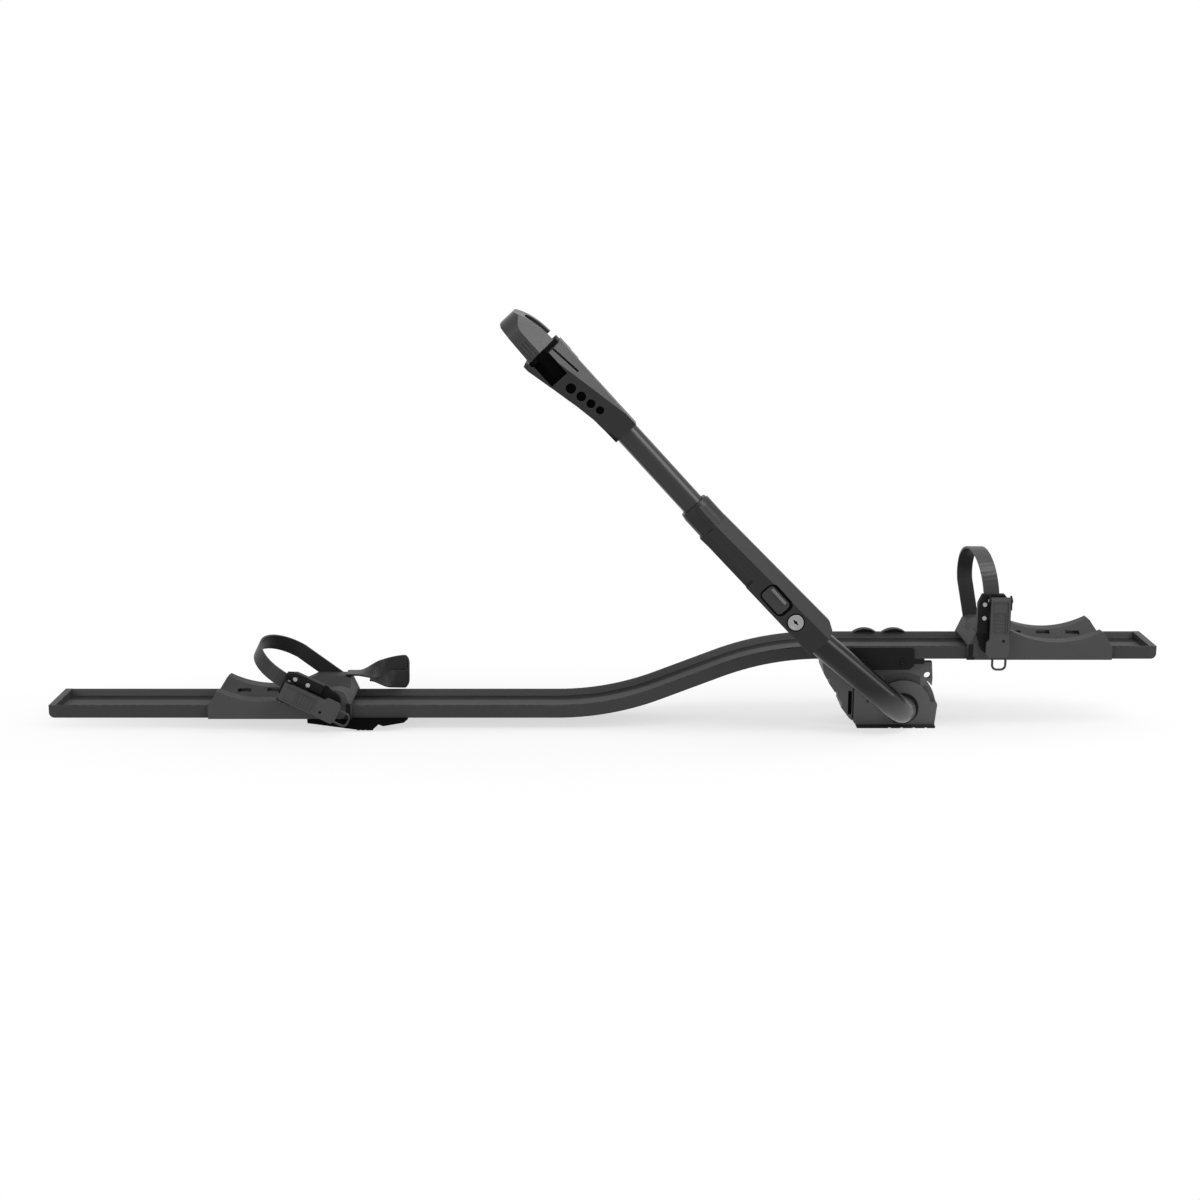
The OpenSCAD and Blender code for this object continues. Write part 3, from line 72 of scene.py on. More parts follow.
def linear(value: float) -> float:
    """Turns one screen value into a linear one.

    Args:
        value: Value on the screen, from 0 to 255.

    Returns:
        The linear value, from 0 to 1.
    """
    share = value / SCREEN_WHITE
    if share <= FOOT_END:
        return share / FOOT_SLOPE
    return ((share + CURVE_SHIFT) / (1.0 + CURVE_SHIFT)) ** CURVE_POWER


def grey(level: int, warmth: int = 0) -> Colour:
    """Turns a screen grey into a linear colour.

    Args:
        level: Grey on the screen, from 0 to 255.
        warmth: How much redder than blue the grey is, in the same steps.

    Returns:
        The linear red, green and blue.
    """
    return linear(level + warmth), linear(level), linear(level - warmth)


def add_node(tree: NodeTree, kind: str, inputs: Values | None = None, **settings: object) -> Node:
    """Adds a shader node and sets it up.

    Args:
        tree: The tree that gets the node.
        kind: Its type, without the start that all types share.
        inputs: Values of its inputs, by name or number.
        **settings: Values of its other settings.

    Returns:
        The new node.
    """
    node = tree.nodes.new(f"ShaderNode{kind}")
    for name, value in settings.items():
        setattr(node, name, value)
    for name, value in (inputs or {}).items():
        node.inputs[name].default_value = value
    return node


def wire(tree: NodeTree, *pairs: tuple[NodeSocket, NodeSocket]) -> None:
    """Links sockets.

    Args:
        tree: The tree that gets the links.
        *pairs: Each output with the input that it feeds.
    """
    for output, fed in pairs:
        tree.links.new(output, fed)


def combine(tree: NodeTree, operation: str, *values: NodeSocket) -> NodeSocket:
    """Combines values, one after the other, with a math node each.

    Args:
        tree: The tree that gets the nodes.
        operation: What each node does with two values.
        *values: The values.

    Returns:
        The socket of the result.
    """
    result = values[0]
    for value in values[1:]:
        node = add_node(tree, "Math", operation=operation)
        wire(tree, (result, node.inputs[0]), (value, node.inputs[1]))
        result = node.outputs["Value"]
    return result


class Effect(Enum):
    """Names of the shader node groups that the finishes share."""

    GRAIN = "moulded_grain"
    WEAR = "edge_wear"
    DUST = "settled_dust"
    LINES = "drawn_lines"
    ZONE = "tone_zone"


class LineRun(Enum):
    """How fine drawn lines run: noise scale along X, Y and Z."""

    ALONG_X = (6.0, 1500.0, 1500.0)
    ACROSS_X = (1500.0, 6.0, 6.0)
    ALONG_Z = (1500.0, 1500.0, 6.0)


class EffectLibrary:
    """Builds the shared shader node groups once and places them in materials."""

    def __init__(self) -> None:
        """Builds all groups."""
        self.groups: dict[Effect, NodeTree] = {
            Effect.GRAIN: self._grain(),
            Effect.WEAR: self._wear(),
            Effect.DUST: self._dust(),
            Effect.LINES: self._lines(),
            Effect.ZONE: self._zone(),
        }

    @staticmethod
    def _group(
        effect: Effect, inputs: dict[str, float | Point], outputs: tuple[str, ...]
    ) -> tuple[NodeTree, Node, Node]:
        """Makes an empty group with its sockets.

        Args:
            effect: The effect that the group is for.
            inputs: First value of each input, a number or a vector, by name.
            outputs: Name of each output, which are all numbers.

        Returns:
            The group, its input node and its output node.
        """
        tree = bpy.data.node_groups.new(effect.value, "ShaderNodeTree")
        for name, value in inputs.items():
            kind = "NodeSocketFloat" if isinstance(value, float) else "NodeSocketVector"
            tree.interface.new_socket(name, in_out="INPUT", socket_type=kind).default_value = value
        for name in outputs:
            tree.interface.new_socket(name, in_out="OUTPUT", socket_type="NodeSocketFloat")
        return tree, tree.nodes.new("NodeGroupInput"), tree.nodes.new("NodeGroupOutput")

    def _grain(self) -> NodeTree:
        """Builds the fine grain of moulded plastic and powder coat.

        Returns:
            A group with a bump height and a slow tone drift.
        """
        tree, given, out = self._group(
            Effect.GRAIN, {"Grain Scale": 900.0, "Drift Scale": 14.0, "Pits": 0.3}, ("Height", "Drift")
        )
        place = add_node(tree, "TexCoord")
        fine = add_node(tree, "TexNoise", {"Detail": 3.0, "Roughness": 0.6})
        cells = add_node(tree, "TexVoronoi")
        drift = add_node(tree, "TexNoise", {"Detail": 4.0})
        blend = add_node(tree, "Mix")
        for texture in (fine, cells, drift):
            tree.links.new(place.outputs["Object"], texture.inputs["Vector"])
        wire(
            tree,
            (given.outputs["Grain Scale"], fine.inputs["Scale"]),
            (given.outputs["Grain Scale"], cells.inputs["Scale"]),
            (given.outputs["Drift Scale"], drift.inputs["Scale"]),
            (given.outputs["Pits"], blend.inputs["Factor"]),
            (fine.outputs["Fac"], blend.inputs["A"]),
            (cells.outputs["Distance"], blend.inputs["B"]),
            (blend.outputs["Result"], out.inputs["Height"]),
            (drift.outputs["Fac"], out.inputs["Drift"]),
        )
        return tree

    def _wear(self) -> NodeTree:
        """Builds a mask of the worn, rubbed edges.

        Returns:
            A group with a mask from 0 on flats to 1 on rubbed edges.
        """
        tree, given, out = self._group(
            Effect.WEAR, {"Radius": 0.0012, "Amount": 1.0, "Break Up": 160.0}, ("Mask",)
        )
        rounded = add_node(tree, "Bevel", samples=4)
        flat = add_node(tree, "NewGeometry")
        turn = add_node(tree, "VectorMath", operation="DOT_PRODUCT")
        spread = add_node(tree, "MapRange", {"From Min": 0.995, "From Max": 0.86})
        place = add_node(tree, "TexCoord")
        patches = add_node(tree, "TexNoise", {"Detail": 5.0})
        patchy = add_node(tree, "MapRange", {"From Min": 0.35, "From Max": 0.62})
        factors = (spread.outputs["Result"], patchy.outputs["Result"], given.outputs["Amount"])
        wire(
            tree,
            (given.outputs["Radius"], rounded.inputs["Radius"]),
            (rounded.outputs["Normal"], turn.inputs[0]),
            (flat.outputs["Normal"], turn.inputs[1]),
            (turn.outputs["Value"], spread.inputs["Value"]),
            (place.outputs["Object"], patches.inputs["Vector"]),
            (given.outputs["Break Up"], patches.inputs["Scale"]),
            (patches.outputs["Fac"], patchy.inputs["Value"]),
            (combine(tree, "MULTIPLY", *factors), out.inputs["Mask"]),
        )
        return tree

    def _dust(self) -> NodeTree:
        """Builds a veil on faces that look up: thin dust, and painted shade where the finish gives it a dark
        tone.

        Returns:
            A group with a mask that grows on upward faces.
        """
        tree, given, out = self._group(Effect.DUST, {"Amount": 0.1, "Scale": 45.0}, ("Mask",))
        facing = add_node(tree, "NewGeometry")
        split = add_node(tree, "SeparateXYZ")
        upward = add_node(tree, "MapRange", {"From Min": 0.5, "From Max": 1.0})
        place = add_node(tree, "TexCoord")
        specks = add_node(tree, "TexNoise", {"Detail": 6.0})
        factors = (upward.outputs["Result"], specks.outputs["Fac"], given.outputs["Amount"])
        wire(
            tree,
            (facing.outputs["Normal"], split.inputs["Vector"]),
            (split.outputs["Z"], upward.inputs["Value"]),
            (place.outputs["Object"], specks.inputs["Vector"]),
            (given.outputs["Scale"], specks.inputs["Scale"]),
            (combine(tree, "MULTIPLY", *factors), out.inputs["Mask"]),
        )
        return tree

    def _lines(self) -> NodeTree:
        """Builds fine lines from drawing or turning, turned about Y to follow a sloped part.

        Returns:
            A group with the lines' height.
        """
        tree, given, out = self._group(Effect.LINES, {"Run": LineRun.ALONG_X.value, "Tilt": 0.0}, ("Height",))
        place = add_node(tree, "TexCoord")
        tilted = add_node(tree, "VectorRotate", rotation_type="Y_AXIS")
        stretched = add_node(tree, "VectorMath", operation="MULTIPLY")
        lines = add_node(tree, "TexNoise", {"Scale": 1.0, "Detail": 2.0})
        wire(
            tree,
            (place.outputs["Object"], tilted.inputs["Vector"]),
            (given.outputs["Tilt"], tilted.inputs["Angle"]),
            (tilted.outputs["Vector"], stretched.inputs[0]),
            (given.outputs["Run"], stretched.inputs[1]),
            (stretched.outputs["Vector"], lines.inputs["Vector"]),
            (lines.outputs["Fac"], out.inputs["Height"]),
        )
        return tree

    def _zone(self) -> NodeTree:
        """Builds a stretch that fades in along a direction, alike on both sides of the middle.

        Its faces look along a second direction, or against it.

        Returns:
            A group with a mask from 0 outside the stretch to 1 inside it.
        """
        tree, given, out = self._group(
            Effect.ZONE,
            {"Axis": (0.0, 0.0, 1.0), "Start": 0.0, "End": 1.0, "Facing": (0.0, 0.0, 0.0), "All Sides": 0.0},
            ("Mask",),
        )
        place = add_node(tree, "TexCoord")
        along = add_node(tree, "VectorMath", operation="DOT_PRODUCT")
        fade = add_node(tree, "MapRange", interpolation_type="SMOOTHSTEP")
        flat = add_node(tree, "NewGeometry")
        looks = add_node(tree, "VectorMath", operation="DOT_PRODUCT")
        distance = add_node(tree, "Math", operation="ABSOLUTE")
        likeness = add_node(tree, "Math", operation="ABSOLUTE")
        side = add_node(tree, "Math", operation="ADD", use_clamp=True)
        factors = (fade.outputs["Result"], side.outputs["Value"])
        wire(
            tree,
            (place.outputs["Object"], along.inputs[0]),
            (given.outputs["Axis"], along.inputs[1]),
            (along.outputs["Value"], distance.inputs[0]),
            (distance.outputs["Value"], fade.inputs["Value"]),
            (given.outputs["Start"], fade.inputs["From Min"]),
            (given.outputs["End"], fade.inputs["From Max"]),
            (flat.outputs["Normal"], looks.inputs[0]),
            (given.outputs["Facing"], looks.inputs[1]),
            (looks.outputs["Value"], likeness.inputs[0]),
            (likeness.outputs["Value"], side.inputs[0]),
            (given.outputs["All Sides"], side.inputs[1]),
            (combine(tree, "MULTIPLY", *factors), out.inputs["Mask"]),
        )
        return tree

    def place(self, tree: NodeTree, effect: Effect, **values: object) -> Node:
        """Places a group in a material and sets its inputs.

        Args:
            tree: The material's node tree.
            effect: The group to place.
            **values: Input values, with underscores for spaces in the names.

        Returns:
            The placed group node.
        """
        node = add_node(tree, "Group", node_tree=self.groups[effect])
        for name, value in values.items():
            node.inputs[name.replace("_", " ")].default_value = value
        return node


# How far every edge looks rounded, in metres.
EDGE_ROUND = 0.0009
# How far the roughness drifts either way, and what is left of it on rubbed edges.
ROUGHNESS_SPREAD = 0.06
POLISH = 0.75


@dataclass(frozen=True)
class Zone:
    """A stretch of a surface in another tone, such as painted light on a bend or painted shade in a corner.

    Attributes:
        tone: Its colour.
        axis: Direction along which it fades in, either way from the frame's origin.
        span: Distances along that direction where it starts and where it is full.
        facing: Where its faces look to, or away from; it is on all faces where this is zero.
    """

    tone: Colour
    axis: Point
    span: Pair
    facing: Point = (0.0, 0.0, 0.0)

    def mask(self, tree: NodeTree, effects: EffectLibrary) -> NodeSocket:
        """Places the zone in a material.

        Args:
            tree: The material's node tree.
            effects: The shared node groups.

        Returns:
            The socket of its mask.
        """
        start, end = self.span
        all_sides = 0.0 if any(self.facing) else 1.0
        placed = effects.place(
            tree, Effect.ZONE, Axis=self.axis, Start=start, End=end, Facing=self.facing, All_Sides=all_sides
        )
        return placed.outputs["Mask"]


@dataclass(frozen=True)
class Finish:
    """One surface finish and the values of its shared effects.

    Attributes:
        name: Name of the material.
        tone: Main colour.
        worn: Colour of rubbed edges.
        roughness: Roughness of the clean surface.
        metallic: 0 for paint, plastic and rubber, 1 for bare metal.
        grain_scale: Grains per metre.
        grain_depth: Depth of the grain in metres.
        pits: Share of pitted cells in the grain.
        wear: Strength of the worn edges.
        dust: Strength of the veil on upward faces: dust, and painted shade on the cradle.
        dust_and_shade_tone: Colour of that veil: pale for dust, dark for painted shade.
        drift: How far the tone drifts over the surface.
        specular: Strength of the mirror share at right angles, 0.5 for common plastic.
        lines: Depth of drawn lines as a share of the grain's.
        run: How the drawn lines run.
        tilt: Degrees about Y that the lines are turned.
        zones: Stretches in another tone.
    """

    name: str
    tone: Colour
    worn: Colour
    roughness: float
    metallic: float = 0.0
    grain_scale: float = 900.0
    grain_depth: float = 0.00004
    pits: float = 0.3
    wear: float = 0.5
    dust: float = 0.05
    dust_and_shade_tone: Colour = grey(150, 4)
    drift: float = 0.12
    specular: float = 0.4
    lines: float = 0.0
    run: LineRun = LineRun.ALONG_X
    tilt: float = 0.0
    zones: tuple[Zone, ...] = ()

    def build(self, effects: EffectLibrary) -> Material:
        """Builds the material from the shared effects.

        Args:
            effects: The shared node groups.

        Returns:
            The finished material.
        """
        material = bpy.data.materials.new(self.name)
        material.use_nodes = True
        material.diffuse_color = (*self.tone, 1.0)
        tree = material.node_tree
        surface = tree.nodes["Principled BSDF"]
        surface.inputs["Metallic"].default_value = self.metallic
        surface.inputs["Specular IOR Level"].default_value = self.specular
        grain = effects.place(tree, Effect.GRAIN, Grain_Scale=self.grain_scale, Pits=self.pits)
        wear = effects.place(tree, Effect.WEAR, Amount=self.wear)
        # A veil on upward faces: pale dust, and painted shade where its tone is dark.
        dust = effects.place(tree, Effect.DUST, Amount=self.dust)
        drifted = self._drift_colour(tree, grain)
        for zone in self.zones:
            drifted = self._mix_colour(tree, zone.mask(tree, effects), drifted, zone.tone)
        rubbed = self._mix_colour(tree, wear.outputs["Mask"], drifted, self.worn)
        dusted_and_shaded = self._mix_colour(tree, dust.outputs["Mask"], rubbed, self.dust_and_shade_tone)
        wire(
            tree,
            (dusted_and_shaded, surface.inputs["Base Color"]),
            (self._roughness(tree, grain, wear), surface.inputs["Roughness"]),
        )
        bump = add_node(tree, "Bump", {"Strength": 1.0, "Distance": self.grain_depth})
        rounded = add_node(tree, "Bevel", {"Radius": EDGE_ROUND}, samples=6)
        wire(
            tree,
            (self._height(tree, effects, grain), bump.inputs["Height"]),
            (rounded.outputs["Normal"], bump.inputs["Normal"]),
            (bump.outputs["Normal"], surface.inputs["Normal"]),
        )
        return material

    def _height(self, tree: NodeTree, effects: EffectLibrary, grain: Node) -> NodeSocket:
        """Adds drawn lines to the grain where the finish has them.

        Args:
            tree: The material's node tree.
            effects: The shared node groups.
            grain: The placed grain group.

        Returns:
            The height socket.
        """
        if not self.lines:
            return grain.outputs["Height"]
        lines = effects.place(tree, Effect.LINES, Run=self.run.value, Tilt=math.radians(self.tilt))
        added = add_node(tree, "Math", {1: self.lines}, operation="MULTIPLY_ADD")
        wire(tree, (lines.outputs["Height"], added.inputs[0]), (grain.outputs["Height"], added.inputs[2]))
        return added.outputs["Value"]

    def _drift_colour(self, tree: NodeTree, grain: Node) -> NodeSocket:
        """Lets the tone drift a little over the surface.

        Args:
            tree: The material's node tree.
            grain: The placed grain group.

        Returns:
            The colour socket.
        """
        darker = (*[c * (1.0 - self.drift) for c in self.tone], 1.0)
        lighter = (*[c * (1.0 + self.drift) for c in self.tone], 1.0)
        mix = add_node(tree, "Mix", {"A": darker, "B": lighter}, data_type="RGBA")
        tree.links.new(grain.outputs["Drift"], mix.inputs["Factor"])
        return mix.outputs["Result"]

    @staticmethod
    def _mix_colour(tree: NodeTree, mask: NodeSocket, base: NodeSocket, over: Colour) -> NodeSocket:
        """Lays one colour over another by a mask.

        Args:
            tree: The material's node tree.
            mask: Where the upper colour shows.
            base: The colour below.
            over: The colour above.

        Returns:
            The mixed colour socket.
        """
        mix = add_node(tree, "Mix", {"B": (*over, 1.0)}, data_type="RGBA")
        wire(tree, (mask, mix.inputs["Factor"]), (base, mix.inputs["A"]))
        return mix.outputs["Result"]

    def _roughness(self, tree: NodeTree, grain: Node, wear: Node) -> NodeSocket:
        """Varies the roughness with the drift and polishes rubbed edges.

        Args:
            tree: The material's node tree.
            grain: The placed grain group.
            wear: The placed wear group.

        Returns:
            The roughness socket.
        """
        low, high = self.roughness - ROUGHNESS_SPREAD, self.roughness + ROUGHNESS_SPREAD
        base = add_node(tree, "MapRange", {"To Min": low, "To Max": high})
        polish = add_node(tree, "Mix", {"B": self.roughness * POLISH})
        wire(
            tree,
            (grain.outputs["Drift"], base.inputs["Value"]),
            (wear.outputs["Mask"], polish.inputs["Factor"]),
            (base.outputs["Result"], polish.inputs["A"]),
        )
        return polish.outputs["Result"]


# Slope of the arm and its knee's place along X and Z, and lean of the rear strap, in degrees and metres.
ARM_SLOPE = -42.4
KNEE = (-0.1138178, 0.1306399)
LEAN = 64.0

# What finishes of one kind share.
MOULDED = {"grain_scale": 1100.0, "pits": 0.5}
SMOOTH_MOULDED = {**MOULDED, "grain_depth": 0.000015}
TUBE = {
    "grain_scale": 1600.0, "grain_depth": 0.00001, "wear": 0.3, "lines": 0.6, "run": LineRun.ALONG_Z,
    "tilt": ARM_SLOPE,
}
BAND = {"grain_scale": 1500.0, "grain_depth": 0.00002, "lines": 1.0}
SOFT = {"grain_scale": 1300.0, "pits": 0.6, "wear": 0.2}
BARE_METAL = {"metallic": 1.0, "grain_depth": 0.00001, "wear": 0.2, "lines": 1.0}

ACROSS_RAIL = (0.0, 1.0, 0.0)
UPRIGHT = (0.0, 0.0, 1.0)
# Painted light: faces inside the channel that look across the rail are lighter, for the light on the far
# wall's inner face.
PAINTED_WALL_LIGHT = Zone(grey(88), ACROSS_RAIL, (0.0405, 0.0395), facing=ACROSS_RAIL)
# Painted shade: upward faces towards the channel's walls are darker, for the shade at the foot of the walls.
PAINTED_CHANNEL_SHADE = Zone(grey(28), ACROSS_RAIL, (0.016, 0.021), facing=UPRIGHT)
# Painted light: upward faces in the middle of the channel's floor are lighter.
PAINTED_FLOOR_LIGHT = Zone(grey(70), ACROSS_RAIL, (0.018, 0.012), facing=UPRIGHT)
# Painted reflection: the leg's coat grows lighter towards the bottom of its bend.
PAINTED_BEND_REFLECTION = Zone(grey(98), UPRIGHT, (0.066, 0.006))

RAIL_COAT = Finish(
    "charcoal_rail_coat", grey(57), grey(88), 0.68, grain_scale=1400.0, grain_depth=0.00003, specular=0.12,
    lines=0.8, zones=(PAINTED_WALL_LIGHT, PAINTED_CHANNEL_SHADE, PAINTED_FLOOR_LIGHT),
)
CAP = Finish("charcoal_cap_plastic", grey(56), grey(88), 0.52, specular=0.16, **MOULDED)
TUBE_COAT = Finish("charcoal_tube_coat", grey(24), grey(56), 0.29, specular=0.46, **TUBE)
# Painted shade: the leg's coat is the tube's coat made much darker, for the shade from the sleeve.
LEG_COAT = Finish("charcoal_leg_coat", grey(8), grey(56), 0.2, specular=0.32, zones=(PAINTED_BEND_REFLECTION,), **TUBE)
# Painted light: the base's tone is lifted above the other charcoal plastics, making up for the shade of the
# tube and the rail.
BASE = Finish("charcoal_base_plastic", grey(80), grey(106), 0.5, specular=0.3, **MOULDED)
HEAD = Finish("charcoal_head_plastic", grey(23), grey(70), 0.4, specular=0.32, **SMOOTH_MOULDED)
JAW = Finish("charcoal_jaw_plastic", grey(40), grey(84), 0.4, specular=0.4, **SMOOTH_MOULDED)
SLEEVE = Finish("charcoal_sleeve_plastic", grey(25), grey(66), 0.4, specular=0.3, **MOULDED)
# Painted shade: a strong dark veil darkens the cradle's upward faces, which are lit.
CRADLE = Finish(
    "charcoal_cradle_plastic", grey(66), grey(84), 0.6, grain_scale=1000.0, pits=0.5, specular=0.16, wear=0.2,
    dust=0.8, dust_and_shade_tone=grey(34),
)
BUTTON = Finish("charcoal_button_plastic", grey(44), grey(80), 0.44, specular=0.3, **MOULDED)
# Painted highlight: the button's raised edge is pale, for the light on its upper right side.
BUTTON_HIGHLIGHT_EDGE = Finish("button_edge_painted_highlight", grey(96), grey(120), 0.4, grain_scale=1100.0, specular=0.4)
# Black moulded plastic; on the cradles' black hooks it is painted shade.
BLACK = Finish("black_moulded_plastic_and_painted_shade", grey(18), grey(44), 0.5, grain_scale=1000.0, specular=0.12)
# Deep black plastic, and the painted shade of the dark pieces in the base's groove, round the button, in the
# jaw's gap, notch and holes, and on the jaw's rack.
DEEP_BLACK = Finish(
    "deep_black_plastic_and_painted_shade", grey(6), grey(16), 0.7, grain_scale=1000.0, specular=0.03, wear=0.3, dust=0.0
)
STRAP = Finish("black_strap_plastic", grey(40), grey(74), 0.4, run=LineRun.ACROSS_X, **BAND)
LEANED_STRAP = Finish(
    "black_leaned_strap_plastic", grey(34), grey(70), 0.4, specular=0.3, run=LineRun.ACROSS_X, tilt=LEAN,
    **BAND,
)
# Painted shade: the strap's tail is the strap plastic made much darker, for the shade on its broad face.
PAINTED_SHADE_TAIL_STRAP = Finish("black_tail_plastic_painted_shade", grey(14), grey(44), 0.42, specular=0.3, **BAND)
RUBBER = Finish("black_pad_rubber", grey(20), grey(36), 0.78, specular=0.25, **SOFT)
JAW_RUBBER = Finish("charcoal_jaw_rubber", grey(56), grey(74), 0.7, **SOFT)
STEEL = Finish("zinc_plated_steel", grey(160), grey(190), 0.36, **BARE_METAL)
SILVER = Finish("satin_lock_metal", grey(156), grey(196), 0.34, **BARE_METAL)
WIRE = Finish("black_coated_wire", grey(30), grey(66), 0.38, grain_depth=0.00001)


class Wardrobe:
    """Builds each material once and hands it out."""

    def __init__(self) -> None:
        """Builds the shared effects."""
        self.effects = EffectLibrary()
        self.made: dict[Finish, Material] = {}

    def material(self, finish: Finish) -> Material:
        """Gives the material of a finish.

        Args:
            finish: The finish to give.

        Returns:
            Its material, built at the first call.
        """
        if finish not in self.made:
            self.made[finish] = finish.build(self.effects)
        return self.made[finish]


def join_rings(shape: BMesh, rings: list[list[Vector]], loop: bool = False) -> None:
    """Joins rings of equal count, one after the other, into one solid.

    Args:
        shape: The mesh to add to.
        rings: The corners of each ring, in order.
        loop: Whether the last ring joins the first, or both are closed by a face.
    """
    made = [[shape.verts.new(corner) for corner in ring] for ring in rings]
    pairs = list(zip(made, made[1:]))
    if loop:
        pairs.append((made[-1], made[0]))
    for lower, upper in pairs:
        for index in range(len(lower)):
            following = (index + 1) % len(lower)
            shape.faces.new((lower[index], lower[following], upper[following], upper[index]))
    if not loop:
        shape.faces.new(reversed(made[0]))
        shape.faces.new(made[-1])


@dataclass(frozen=True)
class Bar:
    """A bar whose near face, towards minus Y, is smaller on all sides.

    Attributes:
        low: Lowest corner.
        high: Highest corner.
        taper: How much the near face stands in.
    """

    low: Point
    high: Point
    taper: float

    def add(self, shape: BMesh, place: Matrix) -> None:
        """Adds the bar to a mesh.

        Args:
            shape: The mesh to add to.
            place: Turns and moves the bar into the frame.
        """
        low, high = Vector(self.low), Vector(self.high)
        rings = []
        for y, inset in ((high.y, 0.0), (low.y + self.taper, 0.0), (low.y, self.taper)):
            corners = (
                (low.x + inset, low.z + inset), (high.x - inset, low.z + inset),
                (high.x - inset, high.z - inset), (low.x + inset, high.z - inset),
            )
            rings.append([place @ Vector((x, y, z)) for x, z in corners])
        join_rings(shape, rings)


def rounded_outline(
    middle: Pair, half_width: float, half_length: float, corner: float, steps: int = 6
) -> Outline:
    """Gives a rectangle with rounded corners, which is a circle where the corner is as large as both halves.

    Args:
        middle: Its middle, along X and Z.
        half_width: Half its size along X.
        half_length: Half its size along Z.
        corner: Radius of the corners.
        steps: Straight steps in each corner.

    Returns:
        The points in order.
    """
    points = []
    for quarter, (side_x, side_z) in enumerate(((1, 1), (-1, 1), (-1, -1), (1, -1))):
        for step in range(steps + 1):
            turn = math.radians(90.0 * (quarter + step / steps))
            x = middle[0] + side_x * (half_width - corner) + corner * math.cos(turn)
            z = middle[1] + side_z * (half_length - corner) + corner * math.sin(turn)
            points.append((x, z))
    return points


def stack(shape: BMesh, layers: list[tuple[Outline, float]], place: Matrix, ring: bool = False) -> None:
    """Joins outlines of equal count, each at its own Y, into one solid.

    Args:
        shape: The mesh to add to.
        layers: Each outline and its Y, in order.
        place: Turns and moves the solid into the frame.
        ring: Whether the last outline joins the first, or both are closed by a face.
    """
    rings = [[place @ Vector((x, y, z)) for x, z in outline] for outline, y in layers]
    join_rings(shape, rings, loop=ring)


def add_piece(name: str, shape: BMesh, body: str, material: Material) -> Object:
    """Turns a mesh into a piece that rides on a body.

    Args:
        name: Name of the piece.
        shape: The finished mesh, which is used up.
        body: Body that carries the piece.
        material: Its material.

    Returns:
        The new piece.
    """
    bmesh.ops.recalc_face_normals(shape, faces=shape.faces)
    mesh = bpy.data.meshes.new(name)
    shape.to_mesh(mesh)
    shape.free()
    mesh.materials.append(material)
    piece = bpy.data.objects.new(name, mesh)
    bpy.context.scene.collection.objects.link(piece)
    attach(piece, body)
    LOG.info("%s: built, rides on %s", name, body)
    return piece


@dataclass
class Assembly:
    """A sub-assembly: the CAD nodes that it dresses, by finish, and the pieces that it adds.

    Attributes:
        name: Plain name for the log.
        finishes: Node names for each finish.
    """

    name: str
    finishes: dict[Finish, tuple[str, ...]]

    def build(self, wardrobe: Wardrobe) -> None:
        """Makes the pieces that the CAD nodes don't give; a plain assembly has none.

        Args:
            wardrobe: Gives the materials; not used by a plain assembly.
        """

    def dress(self, wardrobe: Wardrobe) -> None:
        """Gives each node its finish.

        Args:
            wardrobe: Gives the materials.
        """
        for finish, names in self.finishes.items():
            for name in names:
                self._paint(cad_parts[name], wardrobe.material(finish))
                LOG.info("%s: %s in %s", self.name, name, finish.name)

    @staticmethod
    def _paint(piece: Object, material: Material) -> None:
        """Puts one material on all slots of a piece.

        Args:
            piece: The piece to paint.
            material: Its new material.
        """
        if not piece.material_slots:
            piece.data.materials.append(material)
        for slot in piece.material_slots:
            slot.material = material


@dataclass(frozen=True)
class Softbox:
    """A square soft lamp.

    Attributes:
        name: Name of the lamp.
        place: Where it hangs.
        size: Side of the square.
        watts: Its power.
        aim: What it points at.
    """

    name: str
    place: Point
    size: float
    watts: float
    aim: Point = (-0.35, 0.0, 0.2)

    def hang(self) -> None:
        """Adds the lamp to the scene."""
        data = bpy.data.lights.new(self.name, "AREA")
        data.shape = "SQUARE"
        data.size = self.size
        data.energy = self.watts
        lamp = bpy.data.objects.new(self.name, data)
        lamp.location = self.place
        lamp.rotation_euler = (Vector(self.aim) - Vector(self.place)).to_track_quat("-Z", "Y").to_euler()
        bpy.context.scene.collection.objects.link(lamp)


# One lamp overhead, one on each side, and one for the clamp's sloped faces.
SOFTBOXES = (
    Softbox("overhead_softbox", (-0.2, 0.6, 2.6), 1.6, 10.0),
    Softbox("left_softbox", (-2.2, -2.0, 0.9), 1.2, 14.0),
    Softbox("right_softbox", (1.5, -0.9, 1.7), 1.2, 18.0),
    Softbox("upper_right_softbox", (0.75, -0.85, 2.05), 0.8, 17.0, aim=(-0.45, 0.0, 0.45)),
)


